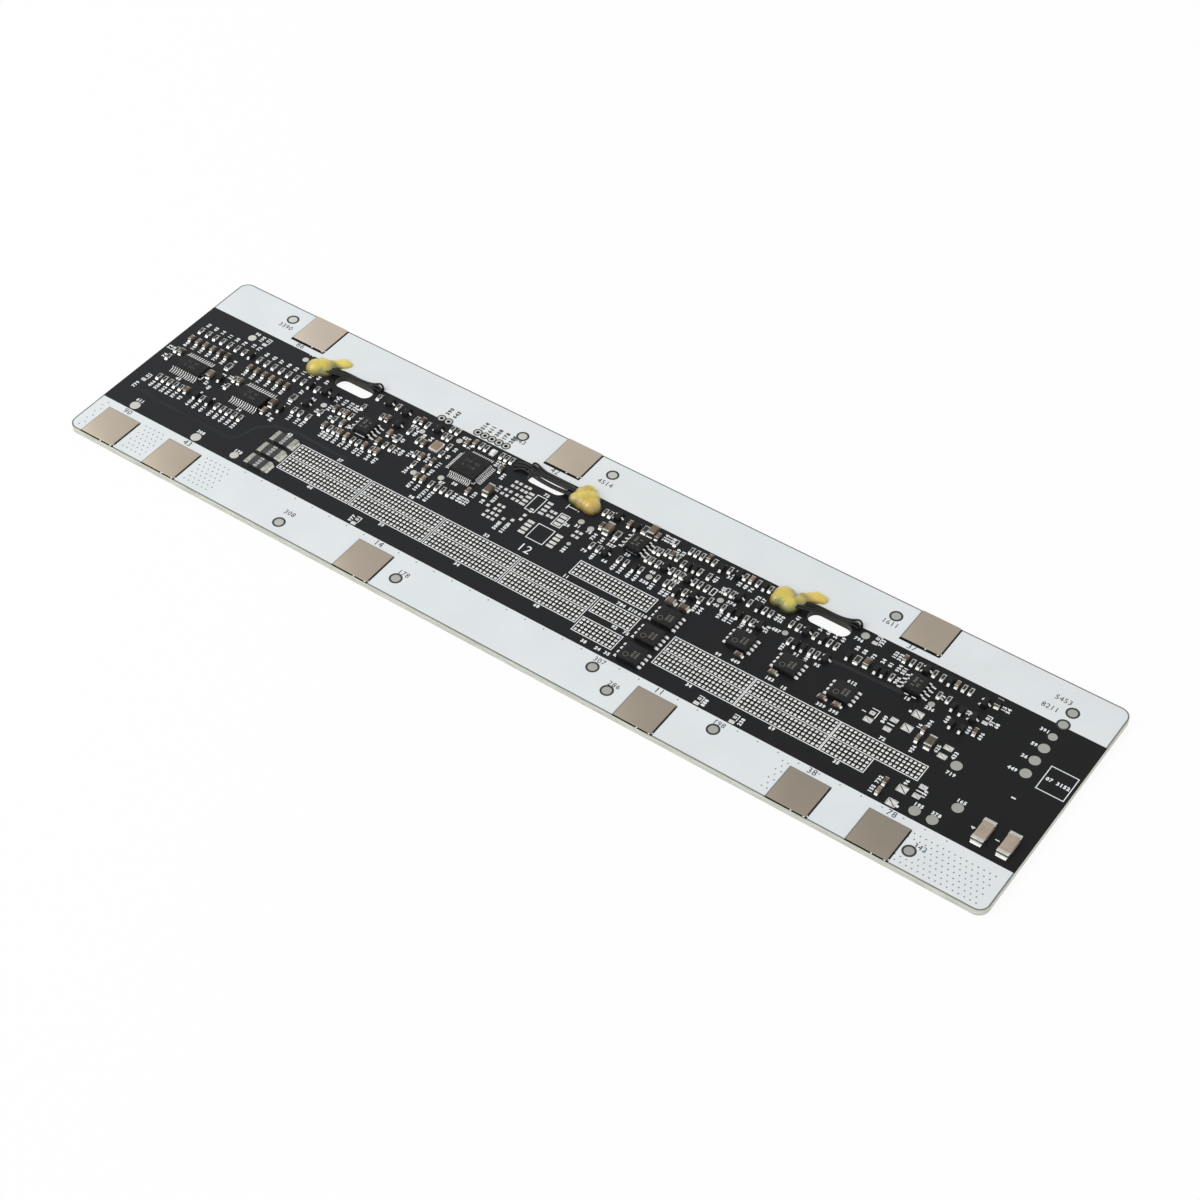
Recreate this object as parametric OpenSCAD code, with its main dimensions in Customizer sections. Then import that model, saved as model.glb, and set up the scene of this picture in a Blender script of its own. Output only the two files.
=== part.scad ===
// Battery management board: one long circuit board with its cell tabs, chips and sensors.
// X runs along the board from its left end, Y from its near long edge, Z up from its underside.

/* [Board] */
// Distance from one battery cell to the next; twelve of them set the board's length
cell_pitch = 18.6; // [18.4:0.1:19.4]
// Length of the board beyond its cells
tail_l = 16.8; // [16:0.1:24]
// Width of the board
board_w = 62.3; // [62.3:0.1:64]
// Thickness of the board
board_t = 1.6; // [1:0.2:2.4]
// Radius of the board's corners
corner_r = 2.5; // [1:0.5:4]

/* [Sensor slots] */
// Length of a round-ended slot
slot_l = 10.3; // [9:0.1:11]
// Width of a slot
slot_w = 4; // [3:0.1:4.2]

/* [Cell tabs] */
// Side of a square nickel tab
tab_side = 9.3; // [8:0.1:9.6]
// Thickness of a tab
tab_t = 0.3; // [0.1:0.05:0.5]

/* [Print] */
// Thickness of the white print
print_t = 0.03; // [0.02:0.01:0.06]
// Width of a drawn line
line_w = 0.2; // [0.12:0.02:0.3]
// Width of the near white band
near_band_w = 12; // [11:0.1:12.2]
// Width of the far white band
far_band_w = 11.6; // [11.2:0.1:12]

/* [Solder] */
// Side of one solder square of the current buses
square_side = 0.62; // [0.5:0.02:0.7]
// Height of a solder square
square_h = 0.12; // [0.06:0.02:0.3]
// Thickness of a tinned pad
pad_t = 0.06; // [0.04:0.01:0.1]
// Diameter of the header holes
header_hole_d = 0.9; // [0.7:0.05:1.1]

/* [Parts] */
// Height of the power transistors
mosfet_h = 1; // [0.8:0.1:1.2]
// Thickness of the sensor wires
wire_d = 0.5; // [0.4:0.02:0.56]

/* [Hidden] */
$fn = 48;
eps = 0.01;

// ---------- places, as [x, y] on the board ----------
cells = 12;
board_l = cells * cell_pitch + tail_l;
far_edge = board_w - far_band_w;

// Parts are listed where they lie on a board 240 mm long, whose dark field between the two white bands
// starts and ends at the drawn heights. placed() spreads them over the board as it is.
drawn_l = 240;
drawn_field = [12, 50.7];
spread = [board_l / drawn_l, (far_edge - near_band_w) / (drawn_field[1] - drawn_field[0])];
function along(x) = x * spread.x;
function across(y) = near_band_w + (y - drawn_field[0]) * spread.y;
function placed(spots) = [for (p = spots)
    concat([along(p[0]), across(p[1])], [for (i = [2 : 1 : len(p) - 1]) p[i]])];
function row(y, xs) = [for (x = xs) [x, y]];
function column(x, ys) = [for (y = ys) [x, y]];
function twice(spots, step) = [for (k = [0, step], p = spots) p + [k, 0]];

// Slots and cell tabs
slot_x = [for (x = [45.9, 101.7, 175.75]) along(x)];
slot_to_band = 3;
slot_y = far_edge - slot_to_band;
first_tab_x = 8.9;
near_tab_y = 4.9;
far_tab_y = board_w - 4.7;
near_tab_cells = [0, 1, 4, 8, 10, 11];
far_tab_cells = [1, 5, 10];
function cell_x(k) = first_tab_x + cell_pitch * k;
function cells_x(cells) = [for (k = cells) cell_x(k)];
tab_spots = concat(row(near_tab_y, cells_x(near_tab_cells)), row(far_tab_y, cells_x(far_tab_cells)));

// Header holes: a pair and a row of five, along the far band's edge
header_pitch = 2;
pair_header = [for (i = [0, 1]) [along(69.1) + header_pitch * i, far_edge + 0.3]];
five_header = [for (i = [0 : 4]) [along(78.8) + header_pitch * i, far_edge + 1.3]];
header_spots = concat(pair_header, five_header);
header_pad_d = 1.7;
header_ring_w = 0.25;

// Solder panels, as [left, bottom, columns]; each holds bus_rows rows of squares
square_step = [spread.x, 1.05 * spread.y];
bus_rows = 4;
panel_gap = 0.25;
panel_w = (bus_rows - 1) * square_step.y + square_side + 2 * panel_gap + 2 * line_w;
low_y = across(16.6);
high_y = low_y + panel_w - line_w;
left_bus = [for (x = [48.6, 69.4, 90.2, 111], y = [low_y, high_y]) [along(x), y, 20]];
link_panels = placed([[121.8, 27.8, 20], [131.9, 21.1, 10], [131.9, 14.6, 10]]);
right_bus = concat([for (x = [151.2, 171.8], y = [low_y, high_y]) [along(x), y, 20]],
                   [[along(192.4), low_y, 10], [along(192.4), high_y, 20]]);

// Integrated circuits
monitor_spots = placed(row(31, [10.5, 28.9]));
controller_spot = placed([[84.7, 41.5]]);
driver_spots = placed([[57.2, 38.2], [129.4, 43], [200, 42.7]]);
mosfet_spots = placed(concat(column(147, [28.7, 22.4, 15.9]), row(32.4, [163.5, 175.3, 188.4])));
shunt_spots = placed(column(44.75, [24.1, 19.6, 15.1]));
fuse_spots = placed(row(17.2, [230.2, 235.9]));
crystal_spot = placed([[74.2, 42.6]]);
led_spot = placed([[85.9, 48.4]]);

// The two monitoring channels hold the same small parts, one step apart
channel_step = 18.2;
channel_resistors = concat(
    row(42.2, concat([for (i = [0 : 5]) 3.6 + 2.25 * i], [17.1])), column(3.4, [33.7, 30.7]));
channel_capacitors = concat(row(38.6, [for (i = [0 : 5]) 3.6 + 2.25 * i]), [[4.9, 33.7]]);

resistors = placed(concat(
    twice(channel_resistors, channel_step),
    row(24.2, concat([for (i = [0 : 4]) 6.4 + 1.73 * i], [19.8], [for (i = [0 : 4]) 24.3 + 1.77 * i])),
    // around the left slot and the first driver
    [[39.5, 42], [45.3, 36.4]], row(33.5, [39.8, 41.7, 44]), row(39.4, [49, 51.9]),
    row(43.5, [52.2, 57.8]), [[49.4, 36.4]], row(33.5, [50.5, 52, 57.2, 58.8, 62.7]),
    row(48.2, [53.1, 58.8]),
    // left of the controller
    row(47.2, [64.9, 68.1]), row(49.4, [73.6, 75.2]), row(46.6, [73.5, 74.8]),
    [[66, 43.3], [69.5, 42], [71.8, 38.1], [73.5, 35.2]], column(76.6, [44.3, 41.5]),
    row(36.4, [64.3, 66.1]),
    // round the controller
    row(48.8, [82.4, 83.8, 88.2, 89.6, 91]), row(32.3, [80.7, 82.5, 84.1, 85.8]),
    // round the middle driver
    row(47.5, [117.8, 119.2]), row(44.3, [133.5, 134.7, 140.8, 145.1, 147.5]),
    row(41.1, [133.5, 134.7, 136.3, 139.9, 141.3, 142.6, 145.8, 147.3, 149]),
    row(37.4, [121.3, 123.1, 128.7, 130.5, 134.3, 138.6, 141, 142.5, 145.8, 149.8]),
    row(48.5, [136, 140.1, 141.5, 143, 146.1, 150.2]), row(45.1, [136, 138.8]),
    // above the power transistors
    row(48.7, [154, 157.3, 160.4]), row(38.4, [151.7, 155.1, 160.8, 162.4, 171.7, 177, 178.5]),
    row(42.8, [153.1, 154.5, 158.9, 162.7, 164.3, 169.5, 171.2, 175.3, 178.9, 180.6]),
    // round the right driver
    row(48, [196, 197.6, 201.4, 203.3, 208.4, 210]), [[194.5, 42]], row(43.4, [205.1, 207.3])));

capacitors = placed(concat(
    twice(channel_capacitors, channel_step), [[34.2, 29.2], [15, 24.2]],
    row(39.4, [47.3, 50.4]), [[59.3, 43.6], [51.8, 36.4]],
    row(33.5, [48.8, 53.4, 55.3, 60.6, 64.2]),
    [[66.4, 47.6], [71.2, 41.8], [62.7, 40], [62.2, 36.4], [73.4, 38.1]],
    column(76.6, [38.2, 35.4, 32.4]), [[78.3, 32.4], [79.1, 47.6], [80.8, 48.6], [90.7, 45.1]],
    [[88.9, 35.2], [119.7, 43.5], [124.4, 47.5], [131.6, 47.8], [137.4, 45.1], [144.5, 48.9]],
    [[155.6, 48.7], [194.3, 48], [206.8, 48], [216.1, 38.9]],
    [[207.3, 33.4], [207.4, 30.6], [207.8, 17.2], [207.9, 14.3]]));
flat_capacitors = placed(row(28.8, [165.1, 173.7, 185.6, 189.2]));  // these lie along the board
wide_resistors = placed([
    [65.2, 39.8], [186.2, 42], [128.2, 48], [124.1, 43.2], [17.5, 36.2], [36.9, 36.5]]);
wide_capacitors = placed([[15.9, 31.4], [34.3, 32.3], [188.4, 42.3], [216.3, 48.2]]);
flat_wide_capacitors = placed(row(33.2, [145, 148.3]));
large_capacitors = placed([[130, 48.5], [121.5, 43.5], [92.6, 38], [210.1, 31]]);

transistors = placed(concat(
    [[41.7, 42.7], [44.3, 42.5], [40.6, 37.1], [56.3, 48.2], [61.5, 47.8], [62.5, 43.5], [71, 47.6]],
    [[121, 48], [125, 37.4], [138.1, 41.1], [144.2, 41], [147.8, 37.6], [152.5, 48.5]],
    [[156.2, 42.9], [164.2, 38.4], [173.2, 42.8], [180.6, 38.5]],
    [[199.5, 48], [213.9, 47], [213.9, 42]]));
diodes = placed(concat(
    twice([[19.1, 42.2], [18.6, 31.9]], channel_step), row(24.2, [17.9, 21.8]),
    [[126.1, 47.6], [142.1, 44.2], [143.7, 44.5], [132.8, 37.2], [144.1, 36.3], [148.3, 48]],
    [[159, 48.7], [161.1, 42.8], [177.1, 42.8], [157, 38.4], [158.9, 38.4], [173.3, 38.4]],
    [[175.1, 38.4], [184, 42], [190.8, 42], [192.5, 42], [205.1, 48]],
    [[209, 42.3], [211, 42.2], [211, 38], [213.3, 38]]));

// Round test pads, as [x, y, diameter]
test_pad_spots = placed([
    [15, 47.3, 2], [30.4, 48.6, 1.5], [8.5, 13.6, 2.5], [27.2, 13.6, 2.5], [38.3, 14.1, 2.1],
    [44.1, 38.8, 1.5], [68.2, 44.9, 1.4], [77.1, 47.3, 1.5], [75, 33.1, 1.5], [81.1, 35.3, 1.5],
    [115, 42.1, 1.5], [118, 41.5, 1.5], [116.7, 35, 1], [136.8, 36.8, 1.5], [153.2, 39.9, 1.5],
    [169.6, 39.9, 1.4], [183.9, 49, 1.9], [204.9, 40.4, 1.5], [229.5, 47, 2], [229.5, 43.3, 2.5],
    [229.5, 39.4, 2.5], [229.6, 35.4, 2.5], [217.3, 29.1, 2.5], [222.9, 19.8, 2.5],
    [216.3, 14.25, 2.5], [220.3, 14.25, 2.5]]);

// Test pads in the white bands, as [cell, beyond the cell's tab, distance from the board's edge]
band_pad_d = 2.4;
band_pad_ring_d = 3;
near_band_pads = [
    [3, -4.1, 3.5], [4, 9.1, 4.9], [7, 2.9, 8.5], [7, 9.1, 4.9], [9, -4.3, 8.8], [11, 7, 4.95]];
far_band_pads = [
    [0, 9.7, 4.3], [4, 4.7, 5.5], [5, 10.2, 4.1], [9, 10, 4.7], [11, 16.3, 7.3], [11, 16.2, 11.2]];
near_pad_spots = [for (p = near_band_pads) [cell_x(p[0]) + p[1], p[2]]];
far_pad_spots = [for (p = far_band_pads) [cell_x(p[0]) + p[1], board_w - p[2]]];

// Rectangular pads with nothing soldered on them, as [x, y, length, width]
spare_pads = placed(concat(
    [for (x = [100.9, 106.1], y = [39.1, 40.3, 41.6, 42.8]) [x, y, 1.4, 0.7]],
    [for (x = [106, 113.7], y = [32, 33.2, 34.5, 35.7]) [x, y, 1.7, 0.8]],
    [for (x = [204.1], y = [32, 36.4]) [x, y, 2.3, 1.9]],
    [for (x = [211.5], y = [13.4, 17.6]) [x, y, 2.3, 1.9]],
    [for (y = [29.4, 32.3]) [200.9, y, 1.7, 1.2]], [for (y = [17.7, 20.4]) [214.7, y, 1.7, 1.2]],
    [for (y = [29.6, 32.2]) [213.7, y, 2, 1.3]], [for (y = [38.5, 39.75, 41]) [111.05, y, 1.7, 0.85]]));
spare_chip_spots = placed(concat(
    row(43.3, [95.8, 97, 98.4, 99.5]), row(40, [95.3, 96.6, 98.3, 99.5]), row(35.2, [95, 97, 98.2]),
    row(32.2, [96, 97.3, 98.5, 100.4]), [[102.3, 33], [103.6, 35.8], [116, 38.3], [117.1, 38.3]],
    row(40.2, [107.8, 108.8])));
spare_chip_pad = [0.8, 0.8];
spare_chip_step = 1.5;

// Bare pairs of a wide and a small pad inside an angle line, as [x, y, scale] of the wide pad
angle_pairs = placed([
    [3.95, 21.5, 1], [19, 47.1, 1], [74.2, 12.8, 1], [165.2, 12.8, 1], [173.95, 12.75, 1],
    [186.6, 48.35, 1], [216.4, 42.3, 1], [196.4, 29.3, 1.5]]);
angle_wide_pad = [1.3, 0.9];
angle_small_pad = [0.8, 0.7];
angle_pad_step = [-0.1, 1.38];
angle_line_top = 2.25;
angle_line_end = 0.6;
angle_line_side = 0.56;

// Outlines drawn on the board, as [left, bottom, length, width]
outlines = placed([
    [102.1, 38.2, 2.7, 5.3], [107.6, 31.2, 4.6, 5.2], [109.8, 37.6, 2.5, 4.3],
    [232.9, 33.2, 6.4, 7], [150, 40, 1.2, 2.2]]);

// ---------- sizes of the parts ----------
// Chips: [length, width, height], the length of a metal end and how far its solder reaches out
chip_small = [1.6, 0.8, 0.45];
chip_small_tall = [1.6, 0.8, 0.8];
chip_wide = [2, 1.25, 0.5];
chip_wide_tall = [2, 1.25, 1];
chip_large = [3, 1.6, 1.2];
chip_end_l = 0.3;
chip_solder_l = 0.42;
chip_proud = 0.03;

monitor_size = [7.8, 4.4, 1];
controller_size = [7, 7, 1.4];
driver_size = [3.9, 4.9, 1.5];
mosfet_size = [5.2, 4.9, mosfet_h];
shunt_size = [6.4, 3.2, 0.7];
shunt_end_l = 1.3;
shunt_solder_l = 0.35;
fuse_size = [6.1, 2.7, 1.1];
fuse_end_l = 1.2;
fuse_solder_l = 0.5;
large_end_l = 0.5;
transistor_size = [1.3, 2.4, 0.95];
diode_size = [1.2, 1.7, 0.9];
mould_draft = 0.1;

// ---------- helpers ----------
// Places its children with the board's lower left corner of the top face at the origin
module on_board() { translate([-board_l / 2, -board_w / 2, board_t]) children(); }
module at(spots) { for (p = spots) translate([p.x, p.y, 0]) children(); }

module rounded_plate(l, w, t, r) {
    linear_extrude(t) {
        translate([r, 0]) square([l - 2 * r, w]);
        translate([0, r]) square([l, w - 2 * r]);
        for (x = [r, l - r], y = [r, w - r]) translate([x, y]) circle(r);
    }
}

module slot_cut(depth) {
    for (s = [-1, 1]) translate([s * (slot_l - slot_w) / 2, 0, 0]) cylinder(d = slot_w, h = depth);
    translate([-(slot_l - slot_w) / 2, -slot_w / 2, 0]) cube([slot_l - slot_w, slot_w, depth]);
}

// One side view of a moulded body: it narrows from the parting line at mid height, up and down
module moulded_profile(half, lift, top, low_draft) {
    mid = lift + (top - lift) / 2;
    high = half - mould_draft;
    low = half - low_draft;
    polygon([[-low, lift], [low, lift], [half, mid], [high, top], [-high, top], [-half, mid]]);
}

module moulded_body(size, lift = 0, low_draft = mould_draft) {
    intersection() {
        rotate([90, 0, 0]) linear_extrude(size.y + 2 * eps, center = true)
            moulded_profile(size.x / 2, lift, size.z, low_draft);
        rotate([90, 0, 90]) linear_extrude(size.x + 2 * eps, center = true)
            moulded_profile(size.y / 2, lift, size.z, low_draft);
    }
}

// A bent lead that leaves a body at height out_z and stands on a foot, along +X
module bent_lead(reach, foot, out_z, thick, wide) {
    rotate([90, 0, 0]) linear_extrude(wide, center = true)
        polygon([
            [0, out_z], [reach - foot - out_z / 3, out_z], [reach - foot, thick], [reach, thick],
            [reach, 0], [reach - foot - thick, 0], [reach - foot - out_z / 3 - thick, out_z - thick],
            [0, out_z - thick]]);
}

// The same lead, from its [reach, foot, thickness, width]
module gull_lead(lead, out_z) { bent_lead(lead[0], lead[1], out_z, lead[2], lead[3]); }

// A row of n leads along Y, leaving the plane x = 0 toward +X
module lead_row(n, pitch) {
    for (i = [0 : n - 1]) translate([0, (i - (n - 1) / 2) * pitch, 0]) children();
}

// The ceramic body of a chip that lies along Y
module chip_body(size, end_l = chip_end_l) {
    translate([-size.y / 2, -size.x / 2 + end_l, 0]) cube([size.y, size.x - 2 * end_l, size.z]);
}

// Both metal ends of a chip, with the solder that runs out over its pads
module chip_end_pair(size, end_l = chip_end_l, solder_l = chip_solder_l) {
    top = size.z + chip_proud;
    for (turn = [0, 180]) rotate(turn) translate([0, size.x / 2, 0])
        rotate([90, 0, 90]) linear_extrude(size.y + 2 * chip_proud, center = true)
            polygon([
                [-end_l, 0], [solder_l, 0], [solder_l, pad_t],
                [chip_proud, top * 0.7], [chip_proud, top], [-end_l, top]]);
}

// ---------- board and print ----------
module circuit_board() {
    color("#2b2c2f") translate([-board_l / 2, -board_w / 2, 0]) difference() {
        rounded_plate(board_l, board_w, board_t, corner_r);
        for (x = slot_x) translate([x, slot_y, -1]) slot_cut(board_t + 2);
        for (p = header_spots) translate([p.x, p.y, -1]) cylinder(d = header_hole_d, h = board_t + 2);
    }
}

tab_gap = 0.3;
module tab_window(p) {
    side = tab_side + 2 * tab_gap;
    translate([p.x - side / 2, p.y - side / 2, -1]) cube([side, side, 2]);
}

module pad_windows(spots, d) { for (p = spots) translate([p.x, p.y, -1]) cylinder(d = d, h = 2); }

band_edge = 0.35;  // the print stops short of the board's cut edge
module near_print_band() {
    color("#dfe5e8") on_board() difference() {
        translate([band_edge, band_edge, 0])
            rounded_plate(board_l - 2 * band_edge, board_w - 2 * band_edge, print_t, corner_r - band_edge);
        translate([-1, near_band_w, -1]) cube([board_l + 2, board_w, 2]);
        for (i = [0 : len(near_tab_cells) - 1]) tab_window(tab_spots[i]);
        pad_windows(near_pad_spots, band_pad_ring_d);
    }
}

module far_print_band() {
    color("#dfe5e8") on_board() difference() {
        translate([band_edge, band_edge, 0])
            rounded_plate(board_l - 2 * band_edge, board_w - 2 * band_edge, print_t, corner_r - band_edge);
        translate([-1, -1, -1]) cube([board_l + 2, board_w - far_band_w + 1, 2]);
        for (i = [0 : len(far_tab_cells) - 1]) tab_window(tab_spots[len(near_tab_cells) + i]);
        pad_windows(far_pad_spots, band_pad_ring_d);
        pad_windows(header_spots, header_pad_d + 2 * header_ring_w);
    }
}

module frame_line(left, bottom, l, w) {
    translate([left, bottom, 0]) linear_extrude(print_t) difference() {
        square([l, w]);
        translate([line_w, line_w]) square([l - 2 * line_w, w - 2 * line_w]);
    }
}

// The angle line beside a bare pair of pads, which runs along its top and down its right side
module angle_line(size) {
    linear_extrude(print_t) {
        translate([-angle_line_side * size, angle_line_top * size - line_w])
            square([2 * angle_line_side * size + line_w, line_w]);
        translate([angle_line_side * size, angle_line_end * size])
            square([line_w, (angle_line_top - angle_line_end) * size - eps]);
    }
}

function panel_l(columns) = (columns - 1) * square_step.x + square_side + 2 * panel_gap + 2 * line_w;

module legend_lines() {
    color("#dfe5e8") on_board() union() {
        for (p = concat(left_bus, link_panels, right_bus)) frame_line(p.x, p.y, panel_l(p[2]), panel_w);
        for (p = outlines) frame_line(p[0], p[1], p[2], p[3]);
        for (p = angle_pairs) translate([p.x, p.y, 0]) angle_line(p[2]);
    }
}

module solder_squares(panels) {
    inset = line_w + panel_gap;
    color("#e9e9e6") on_board() for (p = panels, i = [0 : p[2] - 1], j = [0 : bus_rows - 1])
        translate([p.x + inset + i * square_step.x, p.y + inset + j * square_step.y, 0])
            cube([square_side, square_side, square_h]);
}

module left_bus_solder() { solder_squares(left_bus); }
module link_solder() { solder_squares(link_panels); }
module right_bus_solder() { solder_squares(right_bus); }

// A nickel tab lies flat on the board, cropped where it would pass a long edge
module cell_tab(n) {
    p = tab_spots[n - 1];
    color("#b8a99b") on_board() translate([p.x - tab_side / 2, p.y - tab_side / 2, 0])
        cube([tab_side, tab_side, tab_t]);
}

// ---------- integrated circuits ----------
ic_lift = 0.08;
monitor_lead_pitch = 0.65;
monitor_lead = [1.05, 0.55, 0.13, 0.26];
module monitor_ic(n) {
    color("#2f3033") on_board() at([monitor_spots[n - 1]]) moulded_body(monitor_size, ic_lift);
}

module monitor_ic_leads() {
    out = ic_lift + (monitor_size.z - ic_lift) / 2;
    color("silver") on_board() at(monitor_spots) for (turn = [90, 270]) rotate(turn)
        translate([monitor_size.y / 2, 0, 0]) lead_row(12, monitor_lead_pitch)
            gull_lead(monitor_lead, out);
}

controller_lead_pitch = 0.5;
controller_lead = [1.1, 0.5, 0.13, 0.24];
module controller_ic() {
    color("#2f3033") on_board() at(controller_spot) moulded_body(controller_size, ic_lift);
}

module controller_ic_leads() {
    out = ic_lift + (controller_size.z - ic_lift) / 2;
    color("silver") on_board() at(controller_spot) for (turn = [0 : 90 : 270]) rotate(turn)
        translate([controller_size.x / 2, 0, 0]) lead_row(12, controller_lead_pitch)
            gull_lead(controller_lead, out);
}

driver_lead_pitch = 1.27;
driver_lead = [1.15, 0.5, 0.2, 0.42];
module driver_ic(n) {
    color("#2f3033") on_board() at([driver_spots[n - 1]]) moulded_body(driver_size, ic_lift);
}

module driver_ic_leads() {
    out = ic_lift + (driver_size.z - ic_lift) / 2;
    color("silver") on_board() at(driver_spots) for (turn = [0, 180]) rotate(turn)
        translate([driver_size.x / 2, 0, 0]) lead_row(4, driver_lead_pitch)
            gull_lead(driver_lead, out);
}

mosfet_lead = [0.6, 0.5, 0.25];
module power_mosfet(n) {
    color("#292a2c") on_board() at([mosfet_spots[n - 1]]) linear_extrude(mosfet_h)
        square([mosfet_size.x, mosfet_size.y], center = true);
}

module power_mosfet_leads() {
    color("silver") on_board() at(mosfet_spots) for (turn = [0, 180]) rotate(turn)
        translate([mosfet_size.x / 2, -mosfet_lead.y / 2, 0]) lead_row(4, driver_lead_pitch)
            cube(mosfet_lead);
}

// ---------- shunts, fuses, crystal and lamp ----------
module shunt(n) {
    color("#3a3a3c") on_board() at([shunt_spots[n - 1]]) rotate(90) chip_body(shunt_size, shunt_end_l);
}

module shunt_terminals() {
    color("#c9cac6") on_board() at(shunt_spots) rotate(90)
        chip_end_pair(shunt_size, shunt_end_l, shunt_solder_l);
}

module fuse(n) {
    color("#b0a091") on_board() at([fuse_spots[n - 1]]) chip_body(fuse_size, fuse_end_l);
}

module fuse_caps() {
    color("#dedcd6") on_board() at(fuse_spots) chip_end_pair(fuse_size, fuse_end_l, fuse_solder_l);
}

crystal_size = [2.5, 3.2, 0.75];
module crystal_can() {
    color("#c2ab8a") on_board() at(crystal_spot) translate([-crystal_size.x / 2, -crystal_size.y / 2, 0])
        rounded_plate(crystal_size.x, crystal_size.y, crystal_size.z, 0.3);
}

led_size = [2, 1.25, 0.8];
module status_led() {
    color("#eef0ee") on_board() at(led_spot) union() {
        translate([-led_size.y / 2, -led_size.x / 2, 0]) cube([led_size.y, led_size.x, led_size.z / 2]);
        translate([-led_size.y / 2, -led_size.x * 0.3, 0]) cube([led_size.y, led_size.x * 0.6, led_size.z]);
    }
}

// ---------- temperature sensors ----------
// Each bead lies in glue beside its slot; its two wires pass the slot's far side and end on the board.
// Points are [along, across, up] from the slot's middle, on the board's top face.
bead_r = 0.85;
bead_back = -11.2;
bead_front = -9.8;
bead_across = 2.4;
bead_up = 1.1;
wire_gap = 0.31;
wire_steps = 3;
wire_sides = 8;
wire_straight_end = -4.5;
wire_route = [
    [bead_front, bead_across, bead_up], [-6.2, bead_across, bead_up],
    [wire_straight_end, bead_across, bead_up], [-2, 2.6, 0.75], [2, 2.7, 0.7],
    [4.2, 2.9, 1.1], [5.3, 2.9, 1.5], [6.1, 2.7, 1.1], [6.2, 2.6, 0]];
sensor_side = [1, -1, 1];  // the middle one lies the other way round

// One wire of a pair runs to each side of the route, and they part a little before their ends
function spaced(side) = [for (i = [0 : len(wire_route) - 1])
    wire_route[i] + [0, side * (wire_gap + (i > 4 ? 0.06 * (i - 4) : 0)), 0]];

// One span of a smooth curve through four points, and its direction
function curve(a, b, c, d, t) = 0.5 * (2 * b + (c - a) * t + (2 * a - 5 * b + 4 * c - d) * t * t
    + (3 * b - a - 3 * c + d) * t * t * t);
function curve_way(a, b, c, d, t) = 0.5 * ((c - a) + 2 * (2 * a - 5 * b + 4 * c - d) * t
    + 3 * (3 * b - a - 3 * c + d) * t * t);
function with_ends(p) = concat([2 * p[0] - p[1]], p, [2 * p[len(p) - 1] - p[len(p) - 2]]);
function span(p, k, t, way) = way ? curve_way(p[k], p[k + 1], p[k + 2], p[k + 3], t)
                                  : curve(p[k], p[k + 1], p[k + 2], p[k + 3], t);
function sampled(p, way) = let (q = with_ends(p), n = len(p) - 1)
    concat([for (k = [0 : n - 1], s = [0 : wire_steps - 1]) span(q, k, s / wire_steps, way)],
           [span(q, n - 1, 1, way)]);
function unit(v) = v / norm(v);

module wire(points, d) {
    places = sampled(points, false);
    ways = sampled(points, true);
    rings = [for (i = [0 : len(places) - 1]) let (side = unit(cross(ways[i], [0, 1, 0])),
        up = unit(cross(side, ways[i]))) [for (k = [0 : wire_sides - 1])
            places[i] + d / 2 * (cos(360 * k / wire_sides) * side + sin(360 * k / wire_sides) * up)]];
    n = len(rings);
    m = wire_sides;
    polyhedron(
        points = [for (r = rings) each r],
        faces = concat(
            [[for (k = [0 : m - 1]) k]],
            [for (i = [0 : n - 2], k = [0 : m - 1])
                [i * m + k, (i + 1) * m + k, (i + 1) * m + (k + 1) % m, i * m + (k + 1) % m]],
            [[for (k = [m - 1 : -1 : 0]) (n - 1) * m + k]]));
}

module at_sensor(n) {
    on_board() translate([slot_x[n - 1], slot_y, 0])
        mirror([sensor_side[n - 1] < 0 ? 1 : 0, 0, 0]) children();
}

module bead_shape(longer = 0) {
    translate([bead_back, bead_across, bead_up]) {
        sphere(bead_r);
        rotate([0, 90, 0]) cylinder(r = bead_r, h = bead_front - bead_back + longer);
    }
}

module wire_pair() { for (side = [-1, 1]) wire(spaced(side), wire_d); }

module sensor_bead(n) { color("#1d1d1f") at_sensor(n) bead_shape(); }
module sensor_leads(n) { color("#18181a") at_sensor(n) wire_pair(); }

glue_lumps = [[-10.6, 0.9, 4.1], [-8.2, 2.9, 3.075]];  // along, across and radius
glue_sink = 1.7;
module sensor_glue(n) {
    color("#d9bd45") at_sensor(n) difference() {
        union() {
            for (lump = glue_lumps) translate([lump[0], lump[1], -glue_sink]) sphere(lump[2]);
        }
        for (lump = glue_lumps) translate([lump[0] - lump[2], lump[1] - lump[2], -glue_sink - lump[2]])
            cube([2 * lump[2], 2 * lump[2], lump[2] + glue_sink]);
        bead_shape(eps);
        for (side = [-1, 1]) translate([bead_front, bead_across + side * wire_gap, bead_up])
            rotate([0, 90, 0]) cylinder(d = wire_d, h = wire_straight_end - bead_front);
    }
}

// ---------- small parts ----------
module chip_resistors() {
    color("#34343a") on_board() union() {
        at(resistors) chip_body(chip_small);
        at(wide_resistors) chip_body(chip_wide);
    }
}

module chip_capacitors() {
    color("#a5785a") on_board() union() {
        at(capacitors) chip_body(chip_small_tall);
        at(flat_capacitors) rotate(90) chip_body(chip_small_tall);
        at(wide_capacitors) chip_body(chip_wide_tall);
        at(flat_wide_capacitors) rotate(90) chip_body(chip_wide_tall);
        at(large_capacitors) chip_body(chip_large, large_end_l);
    }
}

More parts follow.
